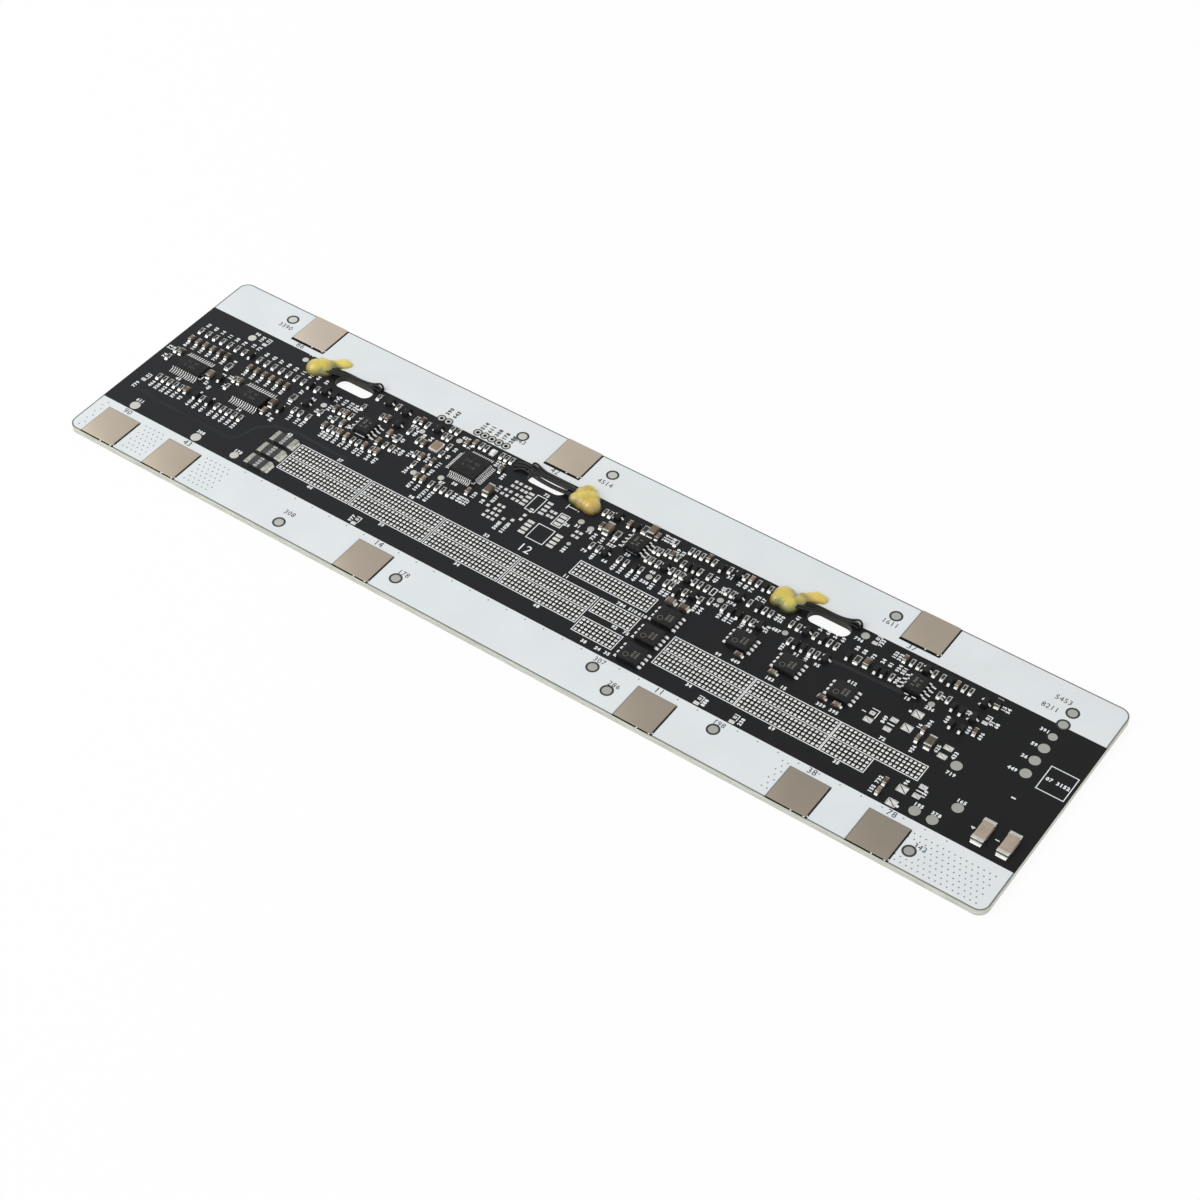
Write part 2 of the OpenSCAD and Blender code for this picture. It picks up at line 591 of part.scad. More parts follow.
module chip_ends() {
    color("#d9dad8") on_board() union() {
        at(resistors) chip_end_pair(chip_small);
        at(capacitors) chip_end_pair(chip_small_tall);
        at(flat_capacitors) rotate(90) chip_end_pair(chip_small_tall);
        at(wide_resistors) chip_end_pair(chip_wide);
        at(wide_capacitors) chip_end_pair(chip_wide_tall);
        at(flat_wide_capacitors) rotate(90) chip_end_pair(chip_wide_tall);
        at(large_capacitors) chip_end_pair(chip_large, large_end_l);
    }
}

transistor_lead = [0.35, 0.4, 0.14];
module small_transistors() {
    color("#2a2a2d") on_board() at(transistors) moulded_body(transistor_size, low_draft = 0);
}

module small_transistor_leads() {
    side = transistor_size.x / 2;
    color("silver") on_board() at(transistors) union() {
        for (y = [-0.8, 0.8]) translate([-side - transistor_lead.x, y - transistor_lead.y / 2, 0])
            cube(transistor_lead);
        translate([side, -transistor_lead.y / 2, 0]) cube(transistor_lead);
    }
}

diode_lead = [0.6, 0.35, 0.14];
module small_diodes() {
    color("#2a2a2d") on_board() at(diodes) moulded_body(diode_size, low_draft = 0);
}

module small_diode_leads() {
    side = diode_size.y / 2;
    color("silver") on_board() at(diodes) for (turn = [0, 180]) rotate(turn)
        translate([-diode_lead.x / 2, side, 0]) cube(diode_lead);
}

module test_pads() {
    color("#cdcbc3") on_board() union() {
        for (p = test_pad_spots) translate([p.x, p.y, 0]) cylinder(d = p[2], h = pad_t);
        at(concat(near_pad_spots, far_pad_spots)) cylinder(d = band_pad_d, h = pad_t);
    }
}

module header_pads() {
    color("#d6d5cd") on_board() at(header_spots) difference() {
        cylinder(d = header_pad_d, h = pad_t);
        translate([0, 0, -1]) cylinder(d = header_hole_d, h = 2);
    }
}

module bare_pad(spot, size, times) {
    translate([spot.x - size.x * times / 2, spot.y - size.y * times / 2, 0])
        cube([size.x * times, size.y * times, pad_t]);
}

module bare_pads() {
    color("#dcdcd8") on_board() union() {
        for (p = spare_pads) bare_pad([p[0], p[1]], [p[2], p[3]], 1);
        at(spare_chip_spots) for (s = [-1, 1]) bare_pad([0, s * spare_chip_step / 2], spare_chip_pad, 1);
        for (p = angle_pairs) translate([p.x, p.y, 0]) {
            bare_pad([0, 0], angle_wide_pad, p[2]);
            bare_pad(angle_pad_step * p[2], angle_small_pad, p[2]);
        }
    }
}

circuit_board();
near_print_band();
far_print_band();
legend_lines();
left_bus_solder();
link_solder();
right_bus_solder();
cell_tab(1);  // cell_tab_1
cell_tab(2);  // cell_tab_2
cell_tab(3);  // cell_tab_3
cell_tab(4);  // cell_tab_4
cell_tab(5);  // cell_tab_5
cell_tab(6);  // cell_tab_6
cell_tab(7);  // cell_tab_7
cell_tab(8);  // cell_tab_8
cell_tab(9);  // cell_tab_9
monitor_ic(1);  // monitor_ic_1
monitor_ic(2);  // monitor_ic_2
monitor_ic_leads();
controller_ic();
controller_ic_leads();
driver_ic(1);  // driver_ic_1
driver_ic(2);  // driver_ic_2
driver_ic(3);  // driver_ic_3
driver_ic_leads();
power_mosfet(1);  // power_mosfet_1
power_mosfet(2);  // power_mosfet_2
power_mosfet(3);  // power_mosfet_3
power_mosfet(4);  // power_mosfet_4
power_mosfet(5);  // power_mosfet_5
power_mosfet(6);  // power_mosfet_6
power_mosfet_leads();
shunt(1);  // shunt_1
shunt(2);  // shunt_2
shunt(3);  // shunt_3
shunt_terminals();
fuse(1);  // fuse_1
fuse(2);  // fuse_2
fuse_caps();
crystal_can();
status_led();
sensor_bead(1);  // sensor_bead_1
sensor_bead(2);  // sensor_bead_2
sensor_bead(3);  // sensor_bead_3
sensor_leads(1);  // sensor_leads_1
sensor_leads(2);  // sensor_leads_2
sensor_leads(3);  // sensor_leads_3
sensor_glue(1);  // sensor_glue_1
sensor_glue(2);  // sensor_glue_2
sensor_glue(3);  // sensor_glue_3
chip_resistors();
chip_capacitors();
chip_ends();
small_transistors();
small_transistor_leads();
small_diodes();
small_diode_leads();
test_pads();
header_pads();
bare_pads();
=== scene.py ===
"""Looks of a battery management board: finishes, fine shapes, white print, lights and camera.

Small pieces are shaped in millimetres, as on a bench, and their copies are set out on the board
in metres, at the places that the CAD solids hold.
"""

import logging
import math
from dataclasses import dataclass, field
from enum import Enum
from typing import Callable, Iterable, Sequence

import bmesh
import bpy
import numpy as np
from mathutils import Matrix, Vector


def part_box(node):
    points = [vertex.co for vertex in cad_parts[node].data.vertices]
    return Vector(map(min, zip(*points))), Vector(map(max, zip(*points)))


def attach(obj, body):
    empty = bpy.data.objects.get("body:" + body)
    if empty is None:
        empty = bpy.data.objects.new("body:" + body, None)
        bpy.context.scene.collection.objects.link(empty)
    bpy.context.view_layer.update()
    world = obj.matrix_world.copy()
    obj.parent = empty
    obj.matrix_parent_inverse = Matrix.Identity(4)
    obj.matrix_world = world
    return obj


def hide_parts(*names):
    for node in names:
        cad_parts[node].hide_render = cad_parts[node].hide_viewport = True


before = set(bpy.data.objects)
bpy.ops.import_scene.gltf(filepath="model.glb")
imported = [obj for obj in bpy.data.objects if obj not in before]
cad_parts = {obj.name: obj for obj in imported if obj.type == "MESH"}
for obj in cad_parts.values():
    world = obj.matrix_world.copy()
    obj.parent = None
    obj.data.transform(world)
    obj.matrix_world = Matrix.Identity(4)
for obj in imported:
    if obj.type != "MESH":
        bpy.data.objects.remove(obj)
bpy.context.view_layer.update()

log = logging.getLogger("board")
MM = 0.001
# the least part of a direction along an axis that counts as straight along it
STRAIGHT = 0.9
Spot = tuple[float, float]
Point = tuple[float, float, float]
Route = tuple[Point, ...]
Size = tuple[float, ...]
Shape = tuple[np.ndarray, list[list[int]]]
Rows = tuple[tuple[float, int, tuple[float, ...]], ...]
Tree = bpy.types.NodeTree
Socket = bpy.types.NodeSocket


# ---------- the bench: hand tools for one piece at a time ----------
class Kind(Enum):
    """What a pick selects."""

    CORNER = "VERT"
    EDGE = "EDGE"
    FACE = "FACE"


def clear_bench() -> None:
    """Leaves nothing selected, in object mode."""
    if bpy.context.object and bpy.context.object.mode != "OBJECT":
        bpy.ops.object.mode_set(mode="OBJECT")
    bpy.ops.object.select_all(action="DESELECT")


def hold(obj: bpy.types.Object) -> None:
    """Leaves only one piece selected and active, in object mode."""
    clear_bench()
    obj.select_set(True)
    bpy.context.view_layer.objects.active = obj


@dataclass
class Blank:
    """A piece on the bench, in millimetres, which is copied onto the board when it is shaped."""

    obj: bpy.types.Object

    @classmethod
    def take(cls) -> "Blank":
        """Takes the primitive that was just added, with its place in its mesh."""
        bpy.ops.object.transform_apply(location=True, rotation=True, scale=True)
        return cls(bpy.context.object)

    @classmethod
    def block(cls, size: Sequence[float], base: Point = (0, 0, 0)) -> "Blank":
        """A block that stands on its base point.

        Args:
            size: Length, width and height.
            base: Middle of the underside.

        Returns:
            The block.
        """
        clear_bench()
        bpy.ops.mesh.primitive_cube_add(size=1, location=(base[0], base[1], base[2] + size[2] / 2))
        bpy.context.object.scale = size
        return cls.take()

    @classmethod
    def drum(cls, width: float, height: float, sides: int, base: Point = (0, 0, 0)) -> "Blank":
        """A drum that stands on its base point.

        Args:
            width: Diameter.
            height: Height.
            sides: Sides round it.
            base: Middle of the underside.

        Returns:
            The drum.
        """
        clear_bench()
        place = (base[0], base[1], base[2] + height / 2)
        bpy.ops.mesh.primitive_cylinder_add(vertices=sides, radius=width / 2, depth=height, location=place)
        return cls.take()

    @classmethod
    def strip(cls, path: Sequence[Spot], width: float, thickness: float) -> "Blank":
        """A metal strip along a path that starts toward +X, grown edge by edge and then thickened.

        Args:
            path: Points of its middle line, as (x, z).
            width: Width along Y.
            thickness: Thickness of the metal.

        Returns:
            The strip.
        """
        (x0, z0), (x1, z1) = path[:2]
        clear_bench()
        bpy.ops.mesh.primitive_plane_add(size=1, location=((x0 + x1) / 2, 0, z0))
        bpy.context.object.scale = (x1 - x0, width, 1)
        piece = cls.take()
        piece.pick(Kind.EDGE, lambda mid, way: mid.x - x1 > -1e-4 and abs(way.y) > STRAIGHT)
        piece.shift((0, 0, z1 - z0))
        for (xa, za), (xb, zb) in zip(path[1:], path[2:]):
            piece.push((xb - xa, 0, zb - za))
        return piece.change("SOLIDIFY", thickness=thickness, offset=0, use_even_offset=True)

    def pick(self, kind: Kind, test: Callable[[Vector, Vector], bool]) -> "Blank":
        """Selects corners, edges or faces in edit mode by place and direction.

        Args:
            kind: What to select.
            test: Takes the middle and the normal, or an edge's direction.

        Returns:
            The same piece, in edit mode.
        """
        hold(self.obj)
        bpy.ops.object.mode_set(mode="EDIT")
        bpy.ops.mesh.select_mode(type=kind.value)
        bpy.ops.mesh.select_all(action="DESELECT")
        mesh = bmesh.from_edit_mesh(self.obj.data)
        if kind is Kind.FACE:
            for face in mesh.faces:
                face.select_set(bool(test(face.calc_center_median(), face.normal)))
        elif kind is Kind.EDGE:
            for edge in mesh.edges:
                a, b = (corner.co for corner in edge.verts)
                edge.select_set(bool(test((a + b) / 2, (b - a).normalized())))
        else:
            for corner in mesh.verts:
                corner.select_set(bool(test(corner.co, corner.normal)))
        mesh.select_flush_mode()
        bmesh.update_edit_mesh(self.obj.data)
        return self

    def top(self) -> "Blank":
        """Picks the faces that look up."""
        return self.pick(Kind.FACE, lambda mid, way: way.z > STRAIGHT)

    def uprights(self) -> "Blank":
        """Picks the upright edges."""
        return self.pick(Kind.EDGE, lambda mid, way: abs(way.z) > STRAIGHT)

    def above(self, level: float) -> "Blank":
        """Picks the edges whose middles lie above a level."""
        return self.pick(Kind.EDGE, lambda mid, way: mid.z > level)

    def bevel(self, width: float, segments: int = 2) -> "Blank":
        """Rounds the picked edges."""
        bpy.ops.mesh.bevel(offset=width, segments=segments, affect="EDGES")
        return self

    def push(self, step: Point) -> "Blank":
        """Extrudes what is picked by a step."""
        bpy.ops.mesh.extrude_region_move(TRANSFORM_OT_translate={"value": step})
        return self

    def shift(self, step: Point) -> "Blank":
        """Moves what is picked by a step."""
        bpy.ops.transform.translate(value=step)
        return self

    def spread(self, factors: Point) -> "Blank":
        """Scales what is picked about its own middle."""
        bpy.ops.transform.resize(value=factors)
        return self

    def inset(self, width: float, depth: float) -> "Blank":
        """Insets the picked faces, and raises them by the depth."""
        bpy.ops.mesh.inset(thickness=width, depth=depth)
        return self

    def cut(self, through: Point, normal: Point) -> "Blank":
        """Cuts all faces along a plane, and keeps both sides."""
        self.pick(Kind.FACE, lambda mid, way: True)
        bpy.ops.mesh.bisect(plane_co=through, plane_no=normal)
        return self

    def done(self) -> "Blank":
        """Leaves edit mode."""
        hold(self.obj)
        return self

    def change(self, kind: str, **settings: object) -> "Blank":
        """Puts a modifier on the piece and applies it.

        Args:
            kind: Blender's name of its type.
            settings: Its settings.

        Returns:
            The same piece, in object mode.
        """
        made = self.obj.modifiers.new(kind.lower(), kind)
        for key, value in settings.items():
            setattr(made, key, value)
        hold(self.obj)
        bpy.ops.object.modifier_apply(modifier=made.name)
        return self

    def round_over(self, width: float, segments: int, angle: float) -> "Blank":
        """Rounds every edge that is sharper than an angle in degrees."""
        return self.change("BEVEL", width=width, segments=segments, limit_method="ANGLE",
                           angle_limit=math.radians(angle))

    def bite(self, tool: "Blank") -> "Blank":
        """Cuts another piece's shape out of this one, and throws the tool away."""
        self.change("BOOLEAN", operation="DIFFERENCE", object=tool.obj, solver="EXACT")
        bpy.data.objects.remove(tool.obj)
        return self

    def add(self, *others: "Blank") -> "Blank":
        """Joins other pieces into this one.

        Args:
            others: The pieces.

        Returns:
            The same piece.
        """
        hold(self.obj)
        for other in others:
            other.obj.select_set(True)
        bpy.ops.object.join()
        return self

    def shape(self) -> Shape:
        """Takes the corners and the faces, and throws the piece away.

        Returns:
            One row for each corner, and the corners of each face by number.
        """
        hold(self.obj)
        mesh = self.obj.data
        corners = np.empty(len(mesh.vertices) * 3)
        mesh.vertices.foreach_get("co", corners)
        faces = [list(face.vertices) for face in mesh.polygons]
        bpy.data.objects.remove(self.obj)
        return corners.reshape(-1, 3), faces


@dataclass(frozen=True)
class Place:
    """Where a copy stands, in millimetres from the middle of the board's underside."""

    x: float
    y: float
    z: float
    turn: float = 0.0
    stretch: Point = (1.0, 1.0, 1.0)


def lay(
    name: str, finish: "Finish", sets: Iterable[tuple[Shape, Sequence[Place]]], *nodes: str, angle: float = 35
) -> None:
    """Copies shapes to their places as one piece, and hands it over.

    Args:
        name: Name of the piece.
        finish: Its finish.
        sets: Each shape with the places of its copies.
        nodes: The CAD nodes that it replaces, if any.
        angle: Edges flatter than this many degrees shade smoothly.
    """
    corners: list[np.ndarray] = []
    faces: list[list[int]] = []
    start = 0
    for (points, polygons), places in sets:
        for place in places:
            a = math.radians(place.turn)
            turn = np.array([[math.cos(a), -math.sin(a), 0], [math.sin(a), math.cos(a), 0], [0, 0, 1]])
            moved = (points * np.array(place.stretch)) @ turn.T + (place.x, place.y, place.z)
            corners.append(moved * MM)
            faces += [[start + i for i in polygon] for polygon in polygons]
            start += len(points)
    mesh = bpy.data.meshes.new(name)
    mesh.from_pydata(np.concatenate(corners).tolist(), [], faces)
    mesh.update()
    piece = bpy.data.objects.new(name, mesh)
    bpy.context.scene.collection.objects.link(piece)
    hold(piece)
    bpy.ops.object.shade_smooth_by_angle(angle=math.radians(angle))
    hand_over(piece, finish, *nodes)


def hand_over(piece: bpy.types.Object, finish: "Finish", *nodes: str) -> None:
    """Dresses a piece, seats it on the board and says which solids it stands for.

    Args:
        piece: The finished piece.
        finish: Its finish.
        nodes: The CAD nodes that it replaces, if any.
    """
    piece.data.materials.clear()
    piece.data.materials.append(finish.material())
    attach(piece, "root")
    if nodes:
        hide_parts(*nodes)
    log.info("%s: %d faces, for %s", piece.name, len(piece.data.polygons), ", ".join(nodes) or "no solid")


# ---------- what the CAD solids say ----------
@dataclass(frozen=True)
class Solid:
    """The box of one CAD solid, in millimetres."""

    low: np.ndarray
    high: np.ndarray

    @property
    def mid(self) -> np.ndarray:
        """Its middle."""
        return (self.low + self.high) / 2

    @property
    def size(self) -> np.ndarray:
        """Its length, width and height."""
        return self.high - self.low

    def place(self, turn: float = 0.0) -> Place:
        """A place on its underside's middle."""
        return Place(self.mid[0], self.mid[1], self.low[2], turn)

    def covers(self, place: Place, room: float) -> bool:
        """Whether a place lies over the box, or within some room of it."""
        spot = np.array((place.x, place.y))
        return bool((self.low[:2] - room < spot).all() and (spot < self.high[:2] + room).all())


def boxed(name: str) -> Solid:
    """The box of a whole CAD node."""
    return Solid(*(np.array(corner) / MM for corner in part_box(name)))


def solids(name: str) -> list[Solid]:
    """Finds the separate solids of a CAD node by joining the triangles that share corners.

    Args:
        name: Name of the node.

    Returns:
        One box for each solid, in the order of its first triangle.
    """
    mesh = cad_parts[name].data
    raw = np.empty(len(mesh.vertices) * 3, np.float32)
    mesh.vertices.foreach_get("co", raw)
    corners, same = np.unique(raw.reshape(-1, 3), axis=0, return_inverse=True)
    loops = np.empty(len(mesh.loops), np.int32)
    mesh.loops.foreach_get("vertex_index", loops)
    triangles = same.reshape(-1)[loops].reshape(-1, 3)
    label = np.arange(len(corners))
    while True:
        least = label[triangles].min(axis=1)
        new = label.copy()
        for k in range(3):
            np.minimum.at(new, triangles[:, k], least)
        new = new[new]
        if (new == label).all():
            break
        label = new
    owned = [corners[label == k] / MM for k in dict.fromkeys(label[triangles[:, 0]].tolist())]
    return [Solid(own.min(axis=0).astype(float), own.max(axis=0).astype(float)) for own in owned]


def by_size(found: Iterable[Solid]) -> dict[Size, list[Solid]]:
    """Groups solids of one size.

    Args:
        found: The solids.

    Returns:
        Lists of solids under their rounded size.
    """
    groups: dict[Size, list[Solid]] = {}
    for one in found:
        groups.setdefault(rounded(*one.size), []).append(one)
    return groups


def rounded(*lengths: float) -> Size:
    """Lengths rounded to 0.01 mm."""
    return tuple(round(float(v), 2) for v in lengths)


def nearest(part: Solid, bodies: Iterable[Solid]) -> Solid:
    """The body whose middle lies nearest to a part's, seen from above."""
    return min(bodies, key=lambda body: float(np.hypot(*(body.mid - part.mid)[:2])))


def leaving(part: Solid, body: Solid, axis: int, turn: float = 0.0) -> Place:
    """Where a leg or an end leaves its body, turned so that +X points outward.

    Args:
        part: The leg or end.
        body: The body that it leaves.
        axis: 0 where it points along X, and 1 along Y.
        turn: How far it is turned from there, in degrees.

    Returns:
        The middle of its inner side, on the board's face.
    """
    side = 1 if part.mid[axis] > body.mid[axis] else -1
    spot = [float(v) for v in part.mid[:2]]
    spot[axis] = float(part.low[axis] if side > 0 else part.high[axis])
    return Place(*spot, TOP, (90 * side if axis else 90 - 90 * side) + turn)


BOARD = boxed("circuit_board")
TOP = float(BOARD.high[2])
BANDS = ("near_print_band", "far_print_band")
TABS = tuple(f"cell_tab_{k}" for k in range(1, 10))


def on_board(x: float, y: float, z: float = 0.0, turn: float = 0.0, stretch: Point = (1, 1, 1)) -> Place:
    """A place given from the board's lower left corner, and from its top face."""
    return Place(x + float(BOARD.low[0]), y + float(BOARD.low[1]), TOP + z, turn, stretch)


# ---------- shader nodes ----------
def linear(code: str) -> tuple[float, float, float, float]:
    """Turns an sRGB hex colour to linear.

    Args:
        code: Six hex digits.

    Returns:
        Red, green, blue and alpha.
    """
    parts = [int(code[i : i + 2], 16) / 255 for i in (0, 2, 4)]
    r, g, b = (v / 12.92 if v <= 0.04045 else ((v + 0.055) / 1.055) ** 2.4 for v in parts)
    return (r, g, b, 1.0)


def node(
    tree: Tree, kind: str, settings: dict[str, object] | None = None, **inputs: object
) -> bpy.types.Node:
    """Adds a node with its settings and links.

    Args:
        tree: The node tree.
        kind: Blender's name of the node type, without "ShaderNode".
        settings: Attributes of the node.
        inputs: Values or output sockets by input name, with _ for a space, or i0, i1… by number.

    Returns:
        The node.
    """
    made = tree.nodes.new("ShaderNode" + kind)
    for key, value in (settings or {}).items():
        setattr(made, key, value)
    for key, value in inputs.items():
        numbered = key[0] == "i" and key[1:].isdigit()
        socket = made.inputs[int(key[1:]) if numbered else key.replace("_", " ")]
        if isinstance(value, bpy.types.NodeSocket):
            tree.links.new(value, socket)
        else:
            socket.default_value = value
    return made


def calc(tree: Tree, operation: str, *values: Socket | float) -> Socket:
    """The result of a Math node."""
    inputs = {f"i{k}": value for k, value in enumerate(values)}
    return node(tree, "Math", {"operation": operation}, **inputs).outputs[0]


def noise(tree: Tree, place: Socket, size_mm: float, detail: float) -> Socket:
    """Noise from 0 to 1 in patches of about one size."""
    return node(tree, "TexNoise", Vector=place, Scale=1 / (size_mm * MM), Detail=detail).outputs["Fac"]


def span(tree: Tree, value: Socket, low: float, high: float, first: float = 0.0, last: float = 1.0) -> Socket:
    """Maps low to high onto first to last, and holds the ends."""
    return node(tree, "MapRange", i0=value, i1=low, i2=high, i3=first, i4=last).outputs[0]


def mix(tree: Tree, share: Socket, first: object, second: object) -> Socket:
    """A colour between two, by the share of the second."""
    return node(tree, "Mix", {"data_type": "RGBA"}, i0=share, i6=first, i7=second).outputs[2]


def axes(tree: Tree, vector: Socket) -> tuple[Socket, ...]:
    """The three parts of a vector."""
    return tuple(node(tree, "SeparateXYZ", i0=vector).outputs)


def ramp(tree: Tree, value: Socket, *stops: tuple[float, str]) -> Socket:
    """Turns a value into colours.

    Args:
        tree: The node tree.
        value: What is turned.
        stops: Places from 0 to 1, with sRGB hex colours.

    Returns:
        The colour.
    """
    made = node(tree, "ValToRGB", Fac=value)
    band = made.color_ramp.elements
    while len(band) < len(stops):
        band.new(1.0)
    for stop, (at, code) in zip(band, stops):
        stop.position, stop.color = at, linear(code)
    return made.outputs["Color"]


# ---------- finishes ----------
@dataclass(frozen=True)
class Finish:
    """A surface with fine grain, patches of colour and uneven gloss, all on Object coordinates."""

    name: str
    slot: str
    dark: str
    light: str
    roughness: float
    metallic: float = 0.0
    patch_mm: float = 1.5
    grain_mm: float = 0.15
    grain_depth_mm: float = 0.004
    uneven: float = 0.08
    specular: float = 0.5
    coat: float = 0.0

    def colour(self, tree: Tree, place: Socket) -> Socket:
        """Returns patches between the dark and the light tone."""
        return ramp(tree, noise(tree, place, self.patch_mm, 4.0), (0.35, self.dark), (0.65, self.light))

    def relief(self, tree: Tree, place: Socket) -> Socket:
        """Returns the height that the bump follows, from 0 to 1."""
        return noise(tree, place, self.grain_mm, 3.0)

    def dress(self, shader: bpy.types.Node) -> None:
        """Adds what only this finish has."""

    def material(self) -> bpy.types.Material:
        """Builds the material once.

        Returns:
            The material.
        """
        known = bpy.data.materials.get(self.name)
        if known:
            return known
        made = bpy.data.materials.new(self.name)
        made.use_nodes = True
        tree = made.node_tree
        tree.nodes.clear()
        place = node(tree, "TexCoord").outputs["Object"]
        dull, sharp = min(1.0, self.roughness + self.uneven), max(0.02, self.roughness - self.uneven)
        bump = node(tree, "Bump", Height=self.relief(tree, place), Distance=self.grain_depth_mm * MM)
        shader = node(
            tree, "BsdfPrincipled", Base_Color=self.colour(tree, place), Metallic=self.metallic,
            Roughness=span(tree, noise(tree, place, self.patch_mm / 2.3, 2.0), 0.3, 0.7, sharp, dull),
            Normal=bump.outputs["Normal"], Specular_IOR_Level=self.specular, Coat_Weight=self.coat,
            Coat_Roughness=0.15)
        self.dress(shader)
        node(tree, "OutputMaterial", Surface=shader.outputs[0])
        return made


@dataclass(frozen=True)
class MaskedLaminate(Finish):
    """Glass-fibre laminate under black solder mask: the cut edge is bare and pale, with thin plies."""

    edge: str = "dfe1d6"
    edge_dark: str = "b4b7aa"
    under_ink: str = "7d807e"
    # painted shade for the walls of the routed slots
    slot_wall_shade: str = "3c3d35"
    rim_mm: float = 2.0

    def colour(self, tree: Tree, place: Socket) -> Socket:
        """Mask on the two faces, laminate on the cut edge and painted shade on the slots' walls.

        Args:
            tree: The node tree.
            place: Where on the board a point is.

        Returns:
            The colour.
        """
        x, y, _ = axes(tree, place)
        # the mask is a little darker toward the right end: painted reflection, the sheen of the light from
        # the left falling off
        tone = calc(tree, "MULTIPLY_ADD", noise(tree, place, 9, 3.0), 0.16, span(tree, x, -0.12, 0.12))
        black = ramp(tree, tone, (0.0, self.light), (1.0, self.dark))
        # under the bands it is grey, because the ink feathers out toward the board's outline
        near, far = (solids(name)[0] for name in BANDS)
        inked = calc(tree, "ADD", calc(tree, "LESS_THAN", y, float(near.high[1]) * MM),
                     calc(tree, "GREATER_THAN", y, float(far.low[1]) * MM))
        mask = mix(tree, inked, black, linear(self.under_ink))
        plies = node(tree, "Mapping", Vector=place, Scale=(250, 250, 9000)).outputs[0]
        cut = ramp(tree, noise(tree, plies, 1 / MM, 3.0), (0.35, self.edge_dark), (0.6, self.edge))
        up = axes(tree, node(tree, "NewGeometry").outputs["Normal"])[2]
        level = calc(tree, "GREATER_THAN", calc(tree, "ABSOLUTE", up), 0.5)
        # the walls of the routed slots, well inside the outline, get a dark painted shade
        inside = calc(tree, "MULTIPLY", *(
            calc(tree, "LESS_THAN", calc(tree, "ABSOLUTE", part), float(end - self.rim_mm) * MM)
            for part, end in zip((x, y), BOARD.high[:2])))
        return mix(tree, level, mix(tree, inside, cut, linear(self.slot_wall_shade)), mask)


@dataclass(frozen=True)
class LevelMetal(Finish):
    """Flat metal, painted paler toward the far left end of the board as a painted reflection of a paler part
    of the room.
    """

    # tones of the painted reflection toward the far left end
    far_reflection_dark: str = "c4b8a7"
    far_reflection_light: str = "d6cabc"

    def colour(self, tree: Tree, place: Socket) -> Socket:
        """Runs from the near right to the far left, where the painted reflection is paler.

        Args:
            tree: The node tree.
            place: Where on the board a point is.

        Returns:
            The colour.
        """
        x, y, _ = axes(tree, place)
        # painted reflection: the tone rises toward the far left
        run = calc(tree, "MULTIPLY_ADD", y, 4.0, calc(tree, "MULTIPLY_ADD", x, -2.6, 0.42))
        tone = calc(tree, "MULTIPLY_ADD", noise(tree, place, self.patch_mm, 2.0), 0.15, run)
        return ramp(tree, tone, (0.15, self.dark), (0.45, self.light), (0.65, self.far_reflection_dark),
                    (0.9, self.far_reflection_light))


@dataclass(frozen=True)
class RolledNickel(LevelMetal):
    """Nickel strip: satin, with faint lines along the rolling direction."""

    def relief(self, tree: Tree, place: Socket) -> Socket:
        """Lines along Y, 0.12 mm apart, which is as fine as shows."""
        lines = node(tree, "Mapping", Vector=place, Scale=(8000, 300, 300)).outputs[0]
        return noise(tree, lines, 1 / MM, 2.0)


@dataclass(frozen=True)
class SoftResin(Finish):
    """Cloudy glue: where it is thin the black board shows through, and its thick parts are pale."""

    thin: str = "45461f"
    rim: str = "8b8c42"
    core: str = "cd9c3a"
    thick_mm: float = 2.3

    def colour(self, tree: Tree, place: Socket) -> Socket:
        """Runs from olive at the foot to pale yellow at the top, with amber patches.

        Args:
            tree: The node tree.
            place: Where on the board a point is.

        Returns:
            The colour.
        """
        _, across, height = axes(tree, place)
        rise = span(tree, height, TOP * MM, (TOP + self.thick_mm) * MM, 0.0, 0.5)
        depth = calc(tree, "MULTIPLY_ADD", noise(tree, place, self.patch_mm, 3.0), 0.45, rise)
        over_black = ramp(tree, depth, (0.3, self.thin), (0.5, self.rim), (0.64, self.dark),
                          (0.8, self.light))
        over_white = ramp(tree, depth, (0.3, self.dark), (0.5, self.light))
        band = float(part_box(BANDS[1])[0][1])
        tone = mix(tree, span(tree, across, band - 0.3 * MM, band + 0.6 * MM), over_black, over_white)
        amber = span(tree, noise(tree, place, self.patch_mm / 0.6, 2.0), 0.42, 0.7, 0.0, 0.42)
        return mix(tree, amber, tone, linear(self.core))

    def dress(self, shader: bpy.types.Node) -> None:
        """Spreads light under the skin, most for red and green."""
        for key, value in (("Weight", 0.35), ("Scale", 0.6 * MM), ("Radius", (1.0, 0.9, 0.2))):
            shader.inputs["Subsurface " + key].default_value = value


# Black solder mask over woven glass: semi-gloss, with a pale cut edge
MASK = MaskedLaminate("black_solder_mask_on_glass_epoxy", "board_mask", "0e0f11", "1d1e21", 0.42,
                      patch_mm=6, grain_mm=0.4, grain_depth_mm=0.003, specular=0.2)
# The same mask where it lies over a wide copper track: a shade lighter
TRACK = Finish("black_mask_over_copper", "board_mask", "17181b", "222327", 0.38, patch_mm=6, grain_mm=0.4,
               grain_depth_mm=0.003, specular=0.25)
# Mask in the gap beside a tab, with a painted shadow of the tab on its near and right sides: black
GAP_AND_SHADOW = Finish("bare_mask_and_painted_shadow_beside_the_tabs", "board_mask", "0c0c0d", "141415", 0.6, patch_mm=2, grain_mm=0.1,
             specular=0.1)
# Mask that shows through the white bands as dark figures: a soft black
DARK_INK = Finish("black_figures_in_white_band", "board_mask", "2a2b2e", "3a3b3f", 0.5, patch_mm=2,
                  grain_mm=0.1, specular=0.3)
